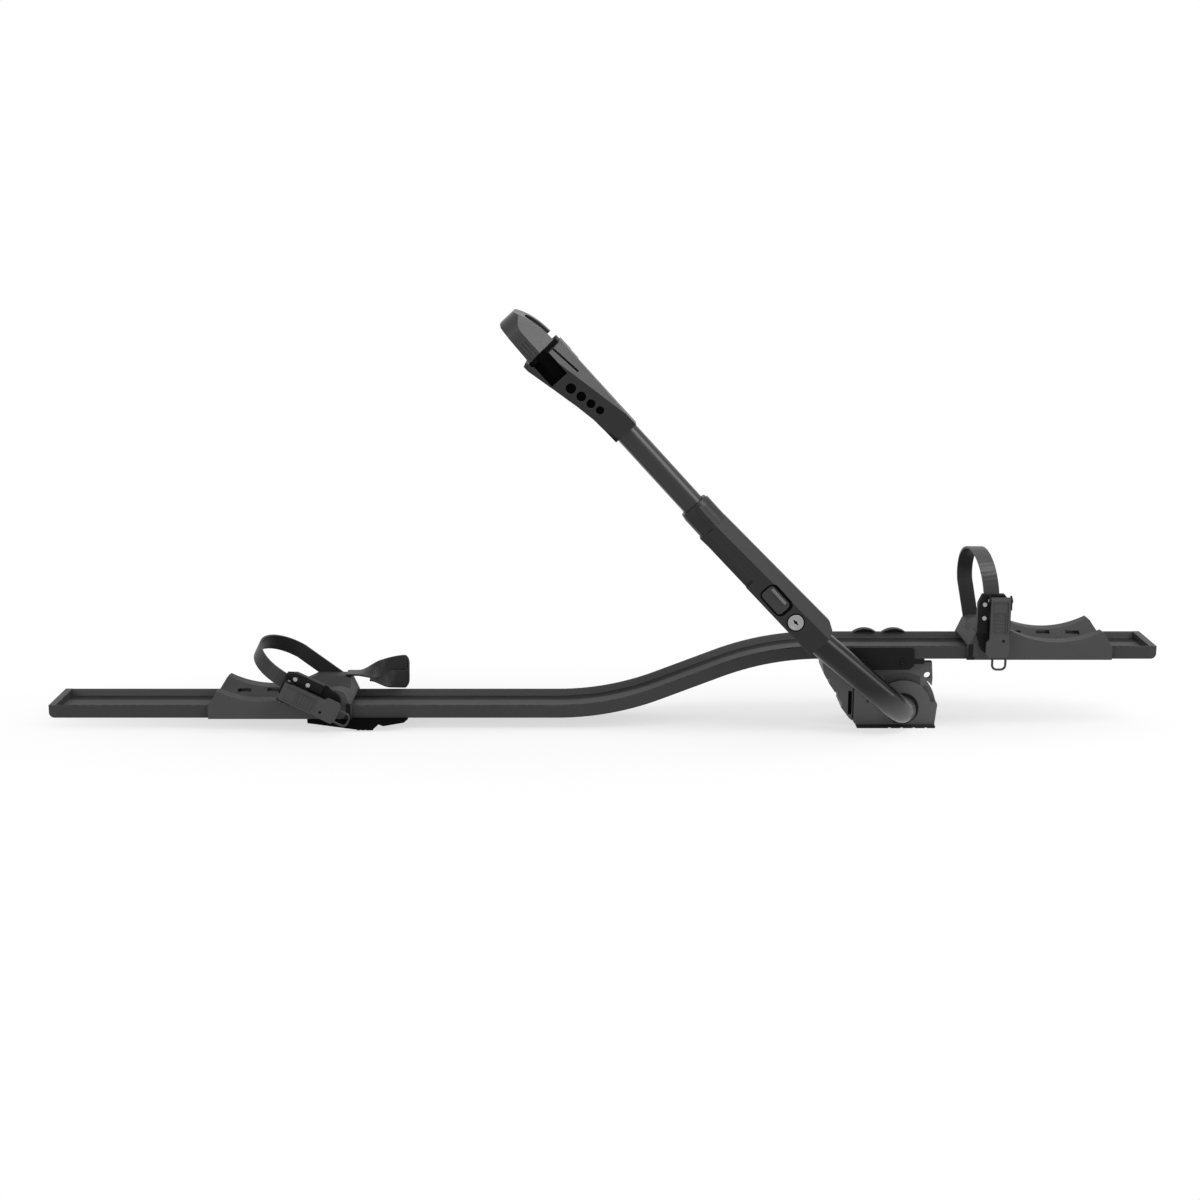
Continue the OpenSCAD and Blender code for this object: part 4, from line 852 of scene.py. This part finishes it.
@dataclass
class Studio:
    """Camera, soft lights, floor and background.

    Attributes:
        eye: Place of the camera.
        pitch: Degrees that the camera looks down.
        lens: Focal length in millimetres.
        sensor: Width of the sensor in millimetres.
        sight: How far the camera sees.
        lamps: The soft lamps.
        light: Strength of the plain light from all round.
        floor_half: Half size of the floor.
        floor_tone: Share of the light that the floor gives back.
        shadow_middle: Middle of the floor's shadow zone.
        shadow_half: Half sizes of the shadow zone.
        shadow_core: Share of the zone in which the shadow is full.
        shadow_share: How much of the shadow shows on the floor.
    """

    eye: Point = (-0.3898, -2.4526, 0.7103)
    pitch: float = 12.54
    lens: float = 57.13
    sensor: float = 36.0
    sight: float = 100.0
    lamps: tuple[Softbox, ...] = SOFTBOXES
    light: float = 0.72
    floor_half: float = 30.0
    floor_tone: float = 0.85
    shadow_middle: Point = (-0.37, 0.0, 0.0)
    shadow_half: Point = (1.0, 0.34, 1.0)
    shadow_core: float = 0.4
    shadow_share: float = 0.35

    def build(self) -> None:
        """Builds the whole studio."""
        scene = bpy.context.scene
        scene.view_settings.view_transform = "Standard"
        self._camera(scene)
        for lamp in self.lamps:
            lamp.hang()
        self._floor()
        self._world(scene)

    def _camera(self, scene: Scene) -> None:
        """Places the camera at the photograph's view.

        Args:
            scene: The scene that gets the camera.
        """
        data = bpy.data.cameras.new("studio_camera")
        data.lens = self.lens
        data.sensor_width = self.sensor
        data.sensor_fit = "HORIZONTAL"
        data.clip_end = self.sight
        camera = bpy.data.objects.new("studio_camera", data)
        camera.location = self.eye
        camera.rotation_euler = (math.radians(90.0 - self.pitch), 0.0, 0.0)
        scene.collection.objects.link(camera)
        scene.camera = camera

    def _floor(self) -> None:
        """Lays the pale floor, white to the camera but still with the object's shadow."""
        half = self.floor_half
        mesh = bpy.data.meshes.new("studio_floor")
        corners = [(-half, -half, 0.0), (half, -half, 0.0), (half, half, 0.0), (-half, half, 0.0)]
        mesh.from_pydata(corners, [], [(0, 1, 2, 3)])
        floor = bpy.data.objects.new("studio_floor", mesh)
        bpy.context.scene.collection.objects.link(floor)
        mesh.materials.append(self._floor_material())

    def _floor_material(self) -> Material:
        """Makes the floor's material.

        Returns:
            A pale diffuse floor, lifted to white for camera and mirror rays.
        """
        material = bpy.data.materials.new("studio_floor")
        material.use_nodes = True
        tree = material.node_tree
        tree.nodes.clear()
        tone = self.floor_tone
        pale = add_node(tree, "BsdfDiffuse", {"Color": (tone, tone, tone, 1.0)})
        white = add_node(tree, "Emission", {"Strength": 1.0})
        lifted = add_node(tree, "MixShader")
        chosen = add_node(tree, "MixShader")
        out = add_node(tree, "OutputMaterial")
        seen = self._seen_directly(tree)
        wire(
            tree,
            (self._shadow_zone(tree), lifted.inputs["Fac"]),
            (white.outputs["Emission"], lifted.inputs[1]),
            (pale.outputs["BSDF"], lifted.inputs[2]),
            (seen, chosen.inputs["Fac"]),
            (pale.outputs["BSDF"], chosen.inputs[1]),
            (lifted.outputs["Shader"], chosen.inputs[2]),
            (chosen.outputs["Shader"], out.inputs["Surface"]),
        )
        return material

    def _shadow_zone(self, tree: NodeTree) -> NodeSocket:
        """Marks the floor round the carrier, where its shadow falls.

        Args:
            tree: The tree to add the nodes to.

        Returns:
            A socket with the shadow's share, which fades to nothing away from the carrier.
        """
        place = add_node(tree, "TexCoord")
        shifted = add_node(tree, "VectorMath", {1: self.shadow_middle}, operation="SUBTRACT")
        scaled = add_node(tree, "VectorMath", {1: self.shadow_half}, operation="DIVIDE")
        far = add_node(tree, "VectorMath", operation="LENGTH")
        marks = {"From Min": 1.0, "From Max": self.shadow_core, "To Max": self.shadow_share}
        fade = add_node(tree, "MapRange", marks, interpolation_type="SMOOTHSTEP")
        wire(
            tree,
            (place.outputs["Object"], shifted.inputs[0]),
            (shifted.outputs["Vector"], scaled.inputs[0]),
            (scaled.outputs["Vector"], far.inputs[0]),
            (far.outputs["Value"], fade.inputs["Value"]),
        )
        return fade.outputs["Result"]

    @staticmethod
    def _seen_directly(tree: NodeTree) -> NodeSocket:
        """Tells rays from the camera, mirrors and glass from others.

        Args:
            tree: The tree to add the nodes to.

        Returns:
            A socket that is 1 for those rays.
        """
        path = add_node(tree, "LightPath")
        kinds = ("Is Camera Ray", "Is Glossy Ray", "Is Transmission Ray")
        return combine(tree, "MAXIMUM", *(path.outputs[kind] for kind in kinds))

    def _world(self, scene: Scene) -> None:
        """Makes a white background with plain soft light.

        Args:
            scene: The scene that gets the world.
        """
        world = bpy.data.worlds.new("studio_world")
        world.use_nodes = True
        tree = world.node_tree
        tree.nodes.clear()
        light = add_node(tree, "Background", {"Strength": self.light})
        white = add_node(tree, "Background", {"Color": (1.0, 1.0, 1.0, 1.0)})
        chosen = add_node(tree, "MixShader")
        out = add_node(tree, "OutputWorld")
        wire(
            tree,
            (self._seen_directly(tree), chosen.inputs["Fac"]),
            (light.outputs["Background"], chosen.inputs[1]),
            (white.outputs["Background"], chosen.inputs[2]),
            (chosen.outputs["Shader"], out.inputs["Surface"]),
        )
        scene.world = world


@dataclass
class PivotBase(Assembly):
    """The base under the rail's front end, with a dark band beside the side cover's seam as painted shade of
    a groove.

    Attributes:
        groove_shade: The dark band of painted shade.
    """

    groove_shade: Bar = Bar((-0.0624, -0.0285, 0.0165), (-0.0576, -0.0272, 0.048), 0.0004)

    def build(self, wardrobe: Wardrobe) -> None:
        """Makes the dark band of painted shade.

        Args:
            wardrobe: Gives the materials.
        """
        # Painted shade: a dark band stands in for the groove's shade.
        shape = bmesh.new()
        self.groove_shade.add(shape, Matrix.Identity(4))
        add_piece("base_cover_groove_shade", shape, "carrier", wardrobe.material(DEEP_BLACK))


def on_arm(x: float = 0.0, z: float = 0.0) -> Matrix:
    """Gives the matrix from the arm's own axes, Z up along the arm, to the frame.

    Args:
        x: Shift across the arm.
        z: Shift along the arm.

    Returns:
        The matrix.
    """
    turn = Matrix.Rotation(math.radians(ARM_SLOPE), 4, "Y")
    return Matrix.Translation((KNEE[0], 0.0, KNEE[1])) @ turn @ Matrix.Translation((x, 0.0, z))


@dataclass
class GripSleeve(Assembly):
    """The arm's tube and grip sleeve, with the seals and the key slot round its button and lock; the button's
    seal is widened on the lower right as painted shadow.

    Attributes:
        face_y: Near face of the sleeve.
        button_at: Middle of the button, across and along the arm.
        button_half: Half width and half length of the button.
        button_corner: Radius of the button's corners.
        button_out: How far the button stands out.
        button_travel: How far it can be pressed; not used.
        seal_in: How far the seal's inner edge is outside the button.
        seal_out: How far its outer edge is outside the button.
        seal_shadow_shift: How far the outer edge is shifted to the seal's wide side.
        seal_rise: How far a seal stands over the sleeve's face.
        seal_root: How deep a seal is set into the sleeve.
        edge_at: Middle of the button's raised edge, from the button's middle.
        edge_half: Half width and half length of the raised edge.
        edge_rise: How far the edge stands over the button's face.
        edge_crown: Share of the edge's width, and share of its rise still to go, at each step of its crown.
        edge_corner: Radius of the edge's corners, as a share of its half width.
        lock_at: Middle of the lock, across and along the arm.
        lock_seal_r: Inner and outer radius of the lock's seal.
        slot_half: Half width and half length of the key slot.
        slot_eye: Radius of the round opening in the slot's middle.
        slot_y: Far and near face of the dark slot insert, from the sleeve's face.
        leaf_half: Half width and half length of the leaf spring behind the button.
        leaf_top: Near face of the leaf's middle.
        leaf_bow: How far the leaf's ends lie behind its middle.
        leaf_thick: Thickness of the leaf.
        leaf_steps: Straight steps along the leaf.
        lock_steps: Straight steps in each quarter of the lock's seal.
        eye_steps: Straight steps in each side of the slot's round opening.
    """

    face_y: float = -0.09
    button_at: Pair = (-0.0027, 0.0754)
    button_half: Pair = (0.010, 0.018)
    button_corner: float = 0.005
    button_out: float = 0.0016
    button_travel: float = 0.002
    seal_in: float = 0.0004
    seal_out: float = 0.0030
    # seal_shadow_shift: How far the outer edge is shifted to the seal's wide side, which paints the button's
    # shadow.
    seal_shadow_shift: Pair = (0.0011, -0.0013)
    seal_rise: float = 0.0003
    seal_root: float = 0.0014
    edge_at: Pair = (0.0062, 0.0008)
    edge_half: Pair = (0.0019, 0.0135)
    edge_rise: float = 0.0007
    edge_crown: tuple[Pair, ...] = ((1.0, 1.0), (0.8, 1.0 / 3.0), (0.4, 0.0))
    edge_corner: float = 0.95
    lock_at: Pair = (-0.003, 0.036)
    lock_seal_r: Pair = (0.01, 0.0117)
    slot_half: Pair = (0.00092, 0.0041)
    slot_eye: float = 0.00202
    slot_y: Pair = (0.0023, 0.0002)
    leaf_half: Pair = (0.004, 0.012)
    leaf_top: float = -0.08875
    leaf_bow: float = 0.0026
    leaf_thick: float = 0.0005
    leaf_steps: int = 16
    lock_steps: int = 16
    eye_steps: int = 8

    def build(self, wardrobe: Wardrobe) -> None:
        """Makes the seals, the button's raised edge, the key slot's dark insert and the leaf spring; the
        button's seal paints its shadow, and its edge is a painted highlight.

        Args:
            wardrobe: Gives the materials.
        """
        dark = wardrobe.material(DEEP_BLACK)
        # Painted shadow: the button's dark seal is wider on its lower right.
        add_piece("button_shadow_seal", self._button_shadow_seal(), "arm", dark)
        # Painted highlight: the raised edge is pale.
        add_piece("button_edge", self._button_edge(), "button", wardrobe.material(BUTTON_HIGHLIGHT_EDGE))
        add_piece("lock_seal", self._lock_seal(), "arm", dark)
        add_piece("lock_slot", self._key_slot(), "lock", dark)
        self._leaf(wardrobe)

    def _leaf(self, wardrobe: Wardrobe) -> None:
        """Makes the bowed leaf in place of the CAD one.

        Args:
            wardrobe: Gives the materials.
        """
        shape = bmesh.new()
        half_width, half_length = self.leaf_half
        place = on_arm(*self.button_at)
        rings = []
        for step in range(self.leaf_steps + 1):
            share = 2.0 * step / self.leaf_steps - 1.0
            near = self.leaf_top + self.leaf_bow * share * share
            far = near + self.leaf_thick
            corners = ((-half_width, near), (half_width, near), (half_width, far), (-half_width, far))
            rings.append([place @ Vector((x, y, half_length * share)) for x, y in corners])
        join_rings(shape, rings)
        leaf = add_piece("button_leaf", shape, "arm", wardrobe.material(STEEL))
        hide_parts("button_spring")
        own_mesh(leaf)

    def _seal(self, inner: Outline, outer: Outline, crown: Outline, place: Matrix) -> BMesh:
        """Makes a flat ring on the sleeve's face.

        Args:
            inner: Its inner outline.
            outer: Its outer outline.
            crown: The outer outline of its top face.
            place: From its own axes to the frame.

        Returns:
            The ring's mesh.
        """
        shape = bmesh.new()
        root, top = self.face_y + self.seal_root, self.face_y - self.seal_rise
        layers = [(outer, root), (outer, self.face_y), (crown, top), (inner, top), (inner, root)]
        stack(shape, layers, place, ring=True)
        return shape

    def _button_shadow_seal(self) -> BMesh:
        """Makes the dark seal round the button, wider on the lower right as painted shadow.

        Returns:
            The mesh.
        """

        def grown(by: float, shift: Pair) -> Outline:
            """Gives the button's outline, grown and shifted."""
            half_width, half_length = self.button_half
            return rounded_outline(shift, half_width + by, half_length + by, self.button_corner + by)

        inner = grown(self.seal_in, (0.0, 0.0))
        outer = grown(self.seal_out, self.seal_shadow_shift)
        crown = grown(self.seal_out - self.seal_rise, self.seal_shadow_shift)
        return self._seal(inner, outer, crown, on_arm(*self.button_at))

    def _lock_seal(self) -> BMesh:
        """Makes the round seal of the lock.

        Returns:
            The mesh.
        """
        inner_r, outer_r = self.lock_seal_r
        crown_r = outer_r - self.seal_rise
        rounds = [rounded_outline((0.0, 0.0), r, r, r, self.lock_steps) for r in (inner_r, outer_r, crown_r)]
        return self._seal(*rounds, on_arm(*self.lock_at))

    def _button_edge(self) -> BMesh:
        """Makes the raised edge along the button's upper right side, pale as a painted highlight.

        Returns:
            The mesh.
        """
        shape = bmesh.new()
        half_width, half_length = self.edge_half
        top = self.face_y - self.button_out - self.edge_rise
        heights = [(1.0, self.face_y)]
        heights.extend((share, top + left * self.edge_rise) for share, left in self.edge_crown)
        layers = []
        for share, y in heights:
            inset = half_width * (1.0 - share)
            width, length = half_width - inset, half_length - inset
            layers.append((rounded_outline(self.edge_at, width, length, self.edge_corner * width), y))
        stack(shape, layers, on_arm(*self.button_at))
        return shape

    def _key_slot(self) -> BMesh:
        """Makes the dark insert of the key slot: a bar with a round eye.

        Returns:
            The mesh.
        """
        shape = bmesh.new()
        half_width, half_length = self.slot_half
        bar_turn = math.asin(half_width / self.slot_eye)
        swept = math.pi - 2.0 * bar_turn
        outline = []
        for start, side in ((0.0, 1.0), (math.pi, -1.0)):
            for step in range(self.eye_steps + 1):
                turn = start + bar_turn - math.pi / 2.0 + swept * step / self.eye_steps
                outline.append((self.slot_eye * math.cos(turn), self.slot_eye * math.sin(turn)))
            outline.append((side * half_width, side * half_length))
            outline.append((-side * half_width, side * half_length))
        far, near = self.slot_y
        stack(shape, [(outline, self.face_y + far), (outline, self.face_y + near)], on_arm(*self.lock_at))
        return shape


@dataclass
class ClampHead(Assembly):
    """The clamp on the mast, with painted shade: a dark block under the moving jaw, and dark pieces in its
    notch and holes.

    Attributes:
        gap_shade_block: The dark block of painted shade under the moving jaw, in the arm's axes.
        notch_shade_sheet: The notch's dark sheet of painted shade, in the arm's axes.
        hole_start: Place across and along the arm and radius of the first hole's dark disc.
        hole_step: Change of each of these from hole to hole.
        hole_bow: How much the place along the arm bends back, times the hole's number squared.
        hole_count: Number of holes.
        hole_y: Far and near face of a hole's dark disc.
        hole_dish: Share of a disc's radius that is dished.
        hole_steps: Straight steps in each quarter of a disc.
    """

    gap_shade_block: Bar = Bar((-0.0305, -0.0885, 0.4998), (-0.0200, -0.0560, 0.5055), 0.0008)
    notch_shade_sheet: Bar = Bar((-0.0288, -0.0806, 0.4662), (-0.0197, -0.0798, 0.4999), 0.0002)
    hole_start: Point = (-0.0126, 0.449, 0.0065)
    hole_step: Point = (0.0028, -0.0166, -0.00045)
    hole_bow: float = 0.0006
    hole_count: int = 4
    hole_y: Pair = (-0.0862, -0.0876)
    hole_dish: float = 0.6
    hole_steps: int = 8

    def build(self, wardrobe: Wardrobe) -> None:
        """Makes the dark pieces of painted shade.

        Args:
            wardrobe: Gives the materials.
        """
        dark = wardrobe.material(DEEP_BLACK)
        # Painted shade: a dark block in the gap under the jaw, and a dark sheet in the notch.
        for name, bar in (("lip_gap_shade", self.gap_shade_block), ("notch_shade", self.notch_shade_sheet)):
            shape = bmesh.new()
            bar.add(shape, on_arm())
            add_piece(name, shape, "mast", dark)
        # Painted shade: dark discs in the holes.
        add_piece("hole_shades", self._hole_shade_discs(), "mast", dark)

    def _hole_shade_discs(self) -> BMesh:
        """Makes a dished dark disc of painted shade in each of the head's holes.

        Returns:
            One mesh of all discs.
        """
        shape = bmesh.new()
        far, near = self.hole_y
        dish = (far - near) / 2.0
        for number in range(self.hole_count):
            x, z, radius = (first + number * step for first, step in zip(self.hole_start, self.hole_step))
            place = on_arm(x, z + self.hole_bow * number * number)
            radii = (radius, self.hole_dish * radius)
            full, part = (rounded_outline((0.0, 0.0), r, r, r, self.hole_steps) for r in radii)
            stack(shape, [(full, far), (full, near), (part, near + dish)], place)
        return shape


class End(Enum):
    """The two ends of the rail that carry a cradle: name, wheel seat, and whether it is mirrored."""

    FRONT = ("front", (0.205, 0.0, 0.0955), False)
    REAR = ("rear", (-0.832, 0.0, 0.0155), True)

    def place(self) -> Matrix:
        """Gives the matrix from the cradle's own axes to the frame.

        Returns:
            The matrix.
        """
        _, seat, mirrored = self.value
        flip = Matrix.Scale(-1.0, 4, (1.0, 0.0, 0.0)) if mirrored else Matrix.Identity(4)
        return Matrix.Translation(seat) @ flip


@dataclass
class WheelCradle(Assembly):
    """One wheel cradle with strap and buckle, in the cradle's own axes: X away from the arm.

    Attributes:
        end: Which end of the rail it is on.
        wheel_r: Radius of the wheel that the trough takes.
        tyre_r: Radius of the tyre's section.
        trough_low: Height of the trough's deepest point.
        rib_groups: Middles of the groups of tread ribs along the rail, between the drain slots.
        rib_pitch: Distance of the three ribs in a group.
        rib_end: Where the trough has no room for further ribs.
        rib_width: Width of a tread rib.
        rib_crown: Half width of a rib's top, as a share of its width.
        rib_height: How far a tread rib stands up.
        rib_root: How deep it is set into the trough.
        rib_steps: Straight steps along a rib.
        rib_reach: Degrees up each flank that a tread rib runs.
        pin: Place of the strap's pivot.
        lean: Degrees that strap and buckle lean outwards.
        thumb_y: Face of the lever's thumb panel.
        thumb_x: Ends of a thumb rib.
        thumb_z: Height of the lowest thumb rib.
        thumb_pitch: Distance of the thumb ribs.
        thumb_count: Number of thumb ribs.
        thumb_half: Half width of a thumb rib, which is also how far it stands out.
        hook_x: Ends of the hook's shank on the near flank.
        hook_z: Lower and upper end of the hook.
        hook_y: Near and far face of the hook.
        hook_taper: How much the hook's near face stands in.
        foot_height: Height of the hook's foot.
        foot_wider: How far the foot reaches past the shank on each side.
        foot_out: How far the foot stands out before the shank.
    """

    end: End = End.FRONT
    wheel_r: float = 0.34
    tyre_r: float = 0.036
    trough_low: float = 0.0115
    rib_groups: tuple[float, ...] = (-0.06, -0.02, 0.02, 0.06)
    rib_pitch: float = 0.006
    rib_end: float = 0.063
    rib_width: float = 0.0026
    rib_crown: float = 0.28
    rib_height: float = 0.0009
    rib_root: float = 0.0006
    rib_steps: int = 16
    rib_reach: float = 24.0
    pin: Pair = (-0.088, 0.024)
    lean: float = 0.0
    thumb_y: float = -0.0645
    thumb_x: Pair = (-0.0865, -0.0725)
    thumb_z: float = 0.042
    thumb_pitch: float = 0.005
    thumb_count: int = 5
    thumb_half: float = 0.0007
    hook_x: Pair = (-0.1155, -0.1095)
    hook_z: Pair = (0.0002, 0.021)
    hook_y: Pair = (-0.0493, -0.0475)
    hook_taper: float = 0.0006
    foot_height: float = 0.0035
    foot_wider: float = 0.002
    foot_out: float = 0.0005

    @classmethod
    def at(cls, end: End) -> "WheelCradle":
        """Lists the nodes of the cradle at one end.

        Args:
            end: Which end of the rail.

        Returns:
            The cradle.
        """
        side = end.value[0]
        leaned = end is End.REAR
        finishes = {
            CRADLE: (f"{side}_cradle", f"{side}_lever"),
            BLACK: (f"{side}_buckle",),
            LEANED_STRAP if leaned else STRAP: (f"{side}_strap",),
            STEEL: (f"{side}_pivot_pins", f"{side}_rivets", f"{side}_lever_pin"),
            WIRE: (f"{side}_bail",),
        }
        return cls(f"{side} cradle", finishes, end=end, lean=LEAN if leaned else 0.0)

    def build(self, wardrobe: Wardrobe) -> None:
        """Makes the tread ribs, the lever's thumb ribs and the black hook of painted shade on the near flank.

        Args:
            wardrobe: Gives the materials.
        """
        side = self.end.value[0]
        add_piece(f"{side}_tread_ribs", self._tread_ribs(), f"{side}_tray", wardrobe.material(CRADLE))
        add_piece(f"{side}_thumb_ribs", self._thumb_ribs(), f"{side}_handle", wardrobe.material(CRADLE))
        # Painted shade: a black hook at the near flank's inner end.
        add_piece(f"{side}_end_shade_hook", self._end_shade_hook(), f"{side}_tray", wardrobe.material(BLACK))

    def _on_trough(self, x: float, rise: float, turn: float) -> Vector:
        """Finds a point over the trough's face.

        Args:
            x: Place along the rail at the trough's bottom.
            rise: Height over the face.
            turn: Angle up the flank, in radians.

        Returns:
            The point in the cradle's axes.
        """
        swing = math.asin(x / self.wheel_r)
        section = self.tyre_r - rise
        out = self.wheel_r - self.tyre_r + section * math.cos(turn)
        height = self.trough_low + self.wheel_r
        return Vector((out * math.sin(swing), section * math.sin(turn), height - out * math.cos(swing)))

    def _tread_ribs(self) -> BMesh:
        """Makes curved ribs across the trough.

        Returns:
            One mesh of all ribs.
        """
        shape = bmesh.new()
        place = self.end.place()
        foot, crown = self.rib_width / 2.0, self.rib_crown * self.rib_width
        root, top = -self.rib_root, self.rib_height
        profile = ((-foot, root), (foot, root), (crown, top), (-crown, top))
        places = [group + side * self.rib_pitch for group in self.rib_groups for side in (-1, 0, 1)]
        for x in (found for found in places if found < self.rib_end):
            rings = []
            for step in range(self.rib_steps + 1):
                turn = math.radians(self.rib_reach) * (2.0 * step / self.rib_steps - 1.0)
                points = [self._on_trough(x + across, rise, turn) for across, rise in profile]
                rings.append([place @ point for point in points])
            join_rings(shape, rings)
        return shape

    def _thumb_ribs(self) -> BMesh:
        """Makes the ribs in the lever's thumb panel, which lean with the buckle.

        Returns:
            One mesh of all ribs.
        """
        shape = bmesh.new()
        pin = Vector((self.pin[0], 0.0, self.pin[1]))
        turn = Matrix.Rotation(math.radians(self.lean), 4, "Y")
        place = self.end.place() @ Matrix.Translation(pin) @ turn @ Matrix.Translation(-pin)
        half = self.thumb_half
        for number in range(self.thumb_count):
            z = self.thumb_z + number * self.thumb_pitch
            low = (self.thumb_x[0], self.thumb_y - half, z - half)
            high = (self.thumb_x[1], self.thumb_y + half, z + half)
            Bar(low, high, half / 2.0).add(shape, place)
        return shape

    def _end_shade_hook(self) -> BMesh:
        """Makes the black hook at the inner end of the near flank, wider at its foot, as painted shade of the
        flank's end face.

        Returns:
            The hook's mesh.
        """
        shape = bmesh.new()
        near, far = self.hook_y
        low, high = self.hook_z
        left, right = self.hook_x
        foot_low = (left - self.foot_wider, near - self.foot_out, low)
        foot_high = (right + self.foot_wider, far, low + self.foot_height)
        shank = Bar((left, near, low), (right, far, high), self.hook_taper)
        foot = Bar(foot_low, foot_high, self.hook_taper)
        for bar in (shank, foot):
            bar.add(shape, self.end.place())
        return shape


@dataclass
class StrapTail(Assembly):
    """The free end of the rear strap: it leaves the far ear, twists upright and folds over.

    Its places are in the rear cradle's axes.

    Attributes:
        start_x: Where the band starts on the ear.
        marks: Shares of the length where it leaves the ear, starts its fold and ends it.
        seat: Length on the ear.
        run: Reach from the ear to the fold.
        turn: Radius of the fold.
        back: Length of the free end after the fold.
        y: Distance from the rail's middle.
        low: Height of the band's middle on the ear.
        climb: How far it climbs to the fold.
        fall: How far it drops in the fold.
        lift: How far the free end rises again.
        twist: Degrees that it twists up.
        twist_in: Shares of the length between which it twists up.
        twist_out: Shares of the length between which it lies flat again.
        width: Width of the band.
        thick: Its thickness.
        rim: How much its edges are rounded.
        look: Share of the length either way that gives the band's direction.
        steps: Straight steps along the band.
    """

    start_x: float = -0.101
    marks: Point = (0.1, 0.5, 0.62)
    seat: float = 0.015
    run: float = 0.063
    turn: float = 0.005
    back: float = 0.046
    y: float = 0.0365
    low: float = 0.04035
    climb: float = 0.0115
    fall: float = 0.0185
    lift: float = 0.001
    twist: float = 82.0
    twist_in: Pair = (0.09, 0.36)
    twist_out: Pair = (0.70, 1.0)
    width: float = 0.024
    thick: float = 0.0026
    rim: float = 0.0007
    look: float = 0.004
    steps: int = 72

    def build(self, wardrobe: Wardrobe) -> None:
        """Makes the band in place of the plain CAD one.

        Args:
            wardrobe: Gives the materials.
        """
        # Painted shade: the band is much darker than the rest of the strap.
        band = add_piece("rear_tail_band", self._band(), "rear_tray", wardrobe.material(PAINTED_SHADE_TAIL_STRAP))
        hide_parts("rear_strap_tail")

    @staticmethod
    def _share(t: float, start: float, end: float) -> float:
        """Gives how far t is between two marks, from 0 to 1."""
        return min(max((t - start) / (end - start), 0.0), 1.0)

    def _eased(self, t: float, start: float, end: float) -> float:
        """Gives the same share with a soft start and end."""
        return (1.0 - math.cos(math.pi * self._share(t, start, end))) / 2.0

    def _middle(self, t: float) -> Vector:
        """Finds the band's middle line.

        Args:
            t: Share of its length.

        Returns:
            The point in the cradle's axes.
        """
        leave, fold, folded = self.marks
        out, back = self._share(t, leave, fold), self._share(t, folded, 1.0)
        over = math.pi * self._share(t, fold, folded)
        x = self.start_x - self.seat * self._share(t, 0.0, leave) - self.run * out
        x += self.back * back - self.turn * math.sin(over)
        y = self.y + self.turn * (out - 1.0 + math.cos(over))
        z = self.low + self.climb * self._eased(t, leave, fold) + self.lift * self._eased(t, folded, 1.0)
        return Vector((x, y, z - self.fall * (1.0 - math.cos(over)) / 2.0))

    def _ring(self, t: float) -> list[Vector]:
        """Finds the band's section.

        Args:
            t: Share of its length.

        Returns:
            Eight corners, with the edges rounded off.
        """
        twisted = self._eased(t, *self.twist_in) - self._eased(t, *self.twist_out)
        lean = math.radians(90.0 - self.twist * twisted)
        across = Vector((0.0, -math.sin(lean), -math.cos(lean)))
        along = self._middle(min(t + self.look, 1.0)) - self._middle(max(t - self.look, 0.0))
        up = along.cross(across).normalized()
        half_width, half_thick = self.width / 2.0, self.thick / 2.0
        flat, low = half_width - self.rim, half_thick - self.rim
        section = (
            (-half_width, -low), (-flat, -half_thick), (flat, -half_thick), (half_width, -low),
            (half_width, low), (flat, half_thick), (-flat, half_thick), (-half_width, low),
        )
        return [self._middle(t) + wide * across + high * up for wide, high in section]

    def _band(self) -> BMesh:
        """Makes the band's mesh along its whole length.

        Returns:
            The closed band.
        """
        shape = bmesh.new()
        place = End.REAR.place()
        shares = [step / self.steps for step in range(self.steps + 1)]
        rings = [[place @ point for point in self._ring(share)] for share in shares]
        join_rings(shape, rings)
        return shape


def assemblies() -> Iterable[Assembly]:
    """Lists every sub-assembly of the carrier.

    Returns:
        The sub-assemblies in building order.
    """
    return (
        Assembly("rail", {RAIL_COAT: ("rail",), CAP: ("rear_end_cap", "front_end_cap")}),
        PivotBase(
            "base",
            {
                BASE: ("base_housing", "base_side_cover"),
                BLACK: ("rail_saddle", "saddle_clamp", "pivot_bushes", "saddle_screws"),
                RUBBER: ("base_pad",),
                STEEL: ("cover_screws", "base_screws"),
            },
        ),
        GripSleeve(
            "arm",
            {
                LEG_COAT: ("lower_tube",),
                SLEEVE: ("sleeve_near", "sleeve_far", "sleeve_collar"),
                BUTTON: ("release_button",),
                SILVER: ("lock_bezel", "lock_barrel"),
                STEEL: ("pivot_washer", "pivot_bolt", "sleeve_screws"),
            },
        ),
        ClampHead(
            "clamp head",
            {
                TUBE_COAT: ("upper_tube",),
                HEAD: ("head_housing",),
                JAW: ("outer_jaw",),
                # Painted shade: the jaw's rack is deep black, for the shade in the notch.
                DEEP_BLACK: ("jaw_rack",),
                RUBBER: ("inner_jaw_pad",),
                JAW_RUBBER: ("outer_jaw_pad",),
                STEEL: ("head_pin",),
            },
        ),
        WheelCradle.at(End.FRONT),
        WheelCradle.at(End.REAR),
        StrapTail("rear strap tail", {}),
        Assembly(
            "rear foot",
            {
                DEEP_BLACK: ("rear_foot",),
                RUBBER: ("rear_foot_pad",),
                STEEL: ("rear_foot_bolt", "rear_foot_nut"),
            },
        ),
    )


def main() -> None:
    """Builds the studio, then builds and dresses each sub-assembly."""
    logging.basicConfig(level=logging.INFO, format="%(name)s: %(message)s")
    Studio().build()
    wardrobe = Wardrobe()
    for part in assemblies():
        part.build(wardrobe)
        part.dress(wardrobe)


if __name__ == "__main__":
    main()
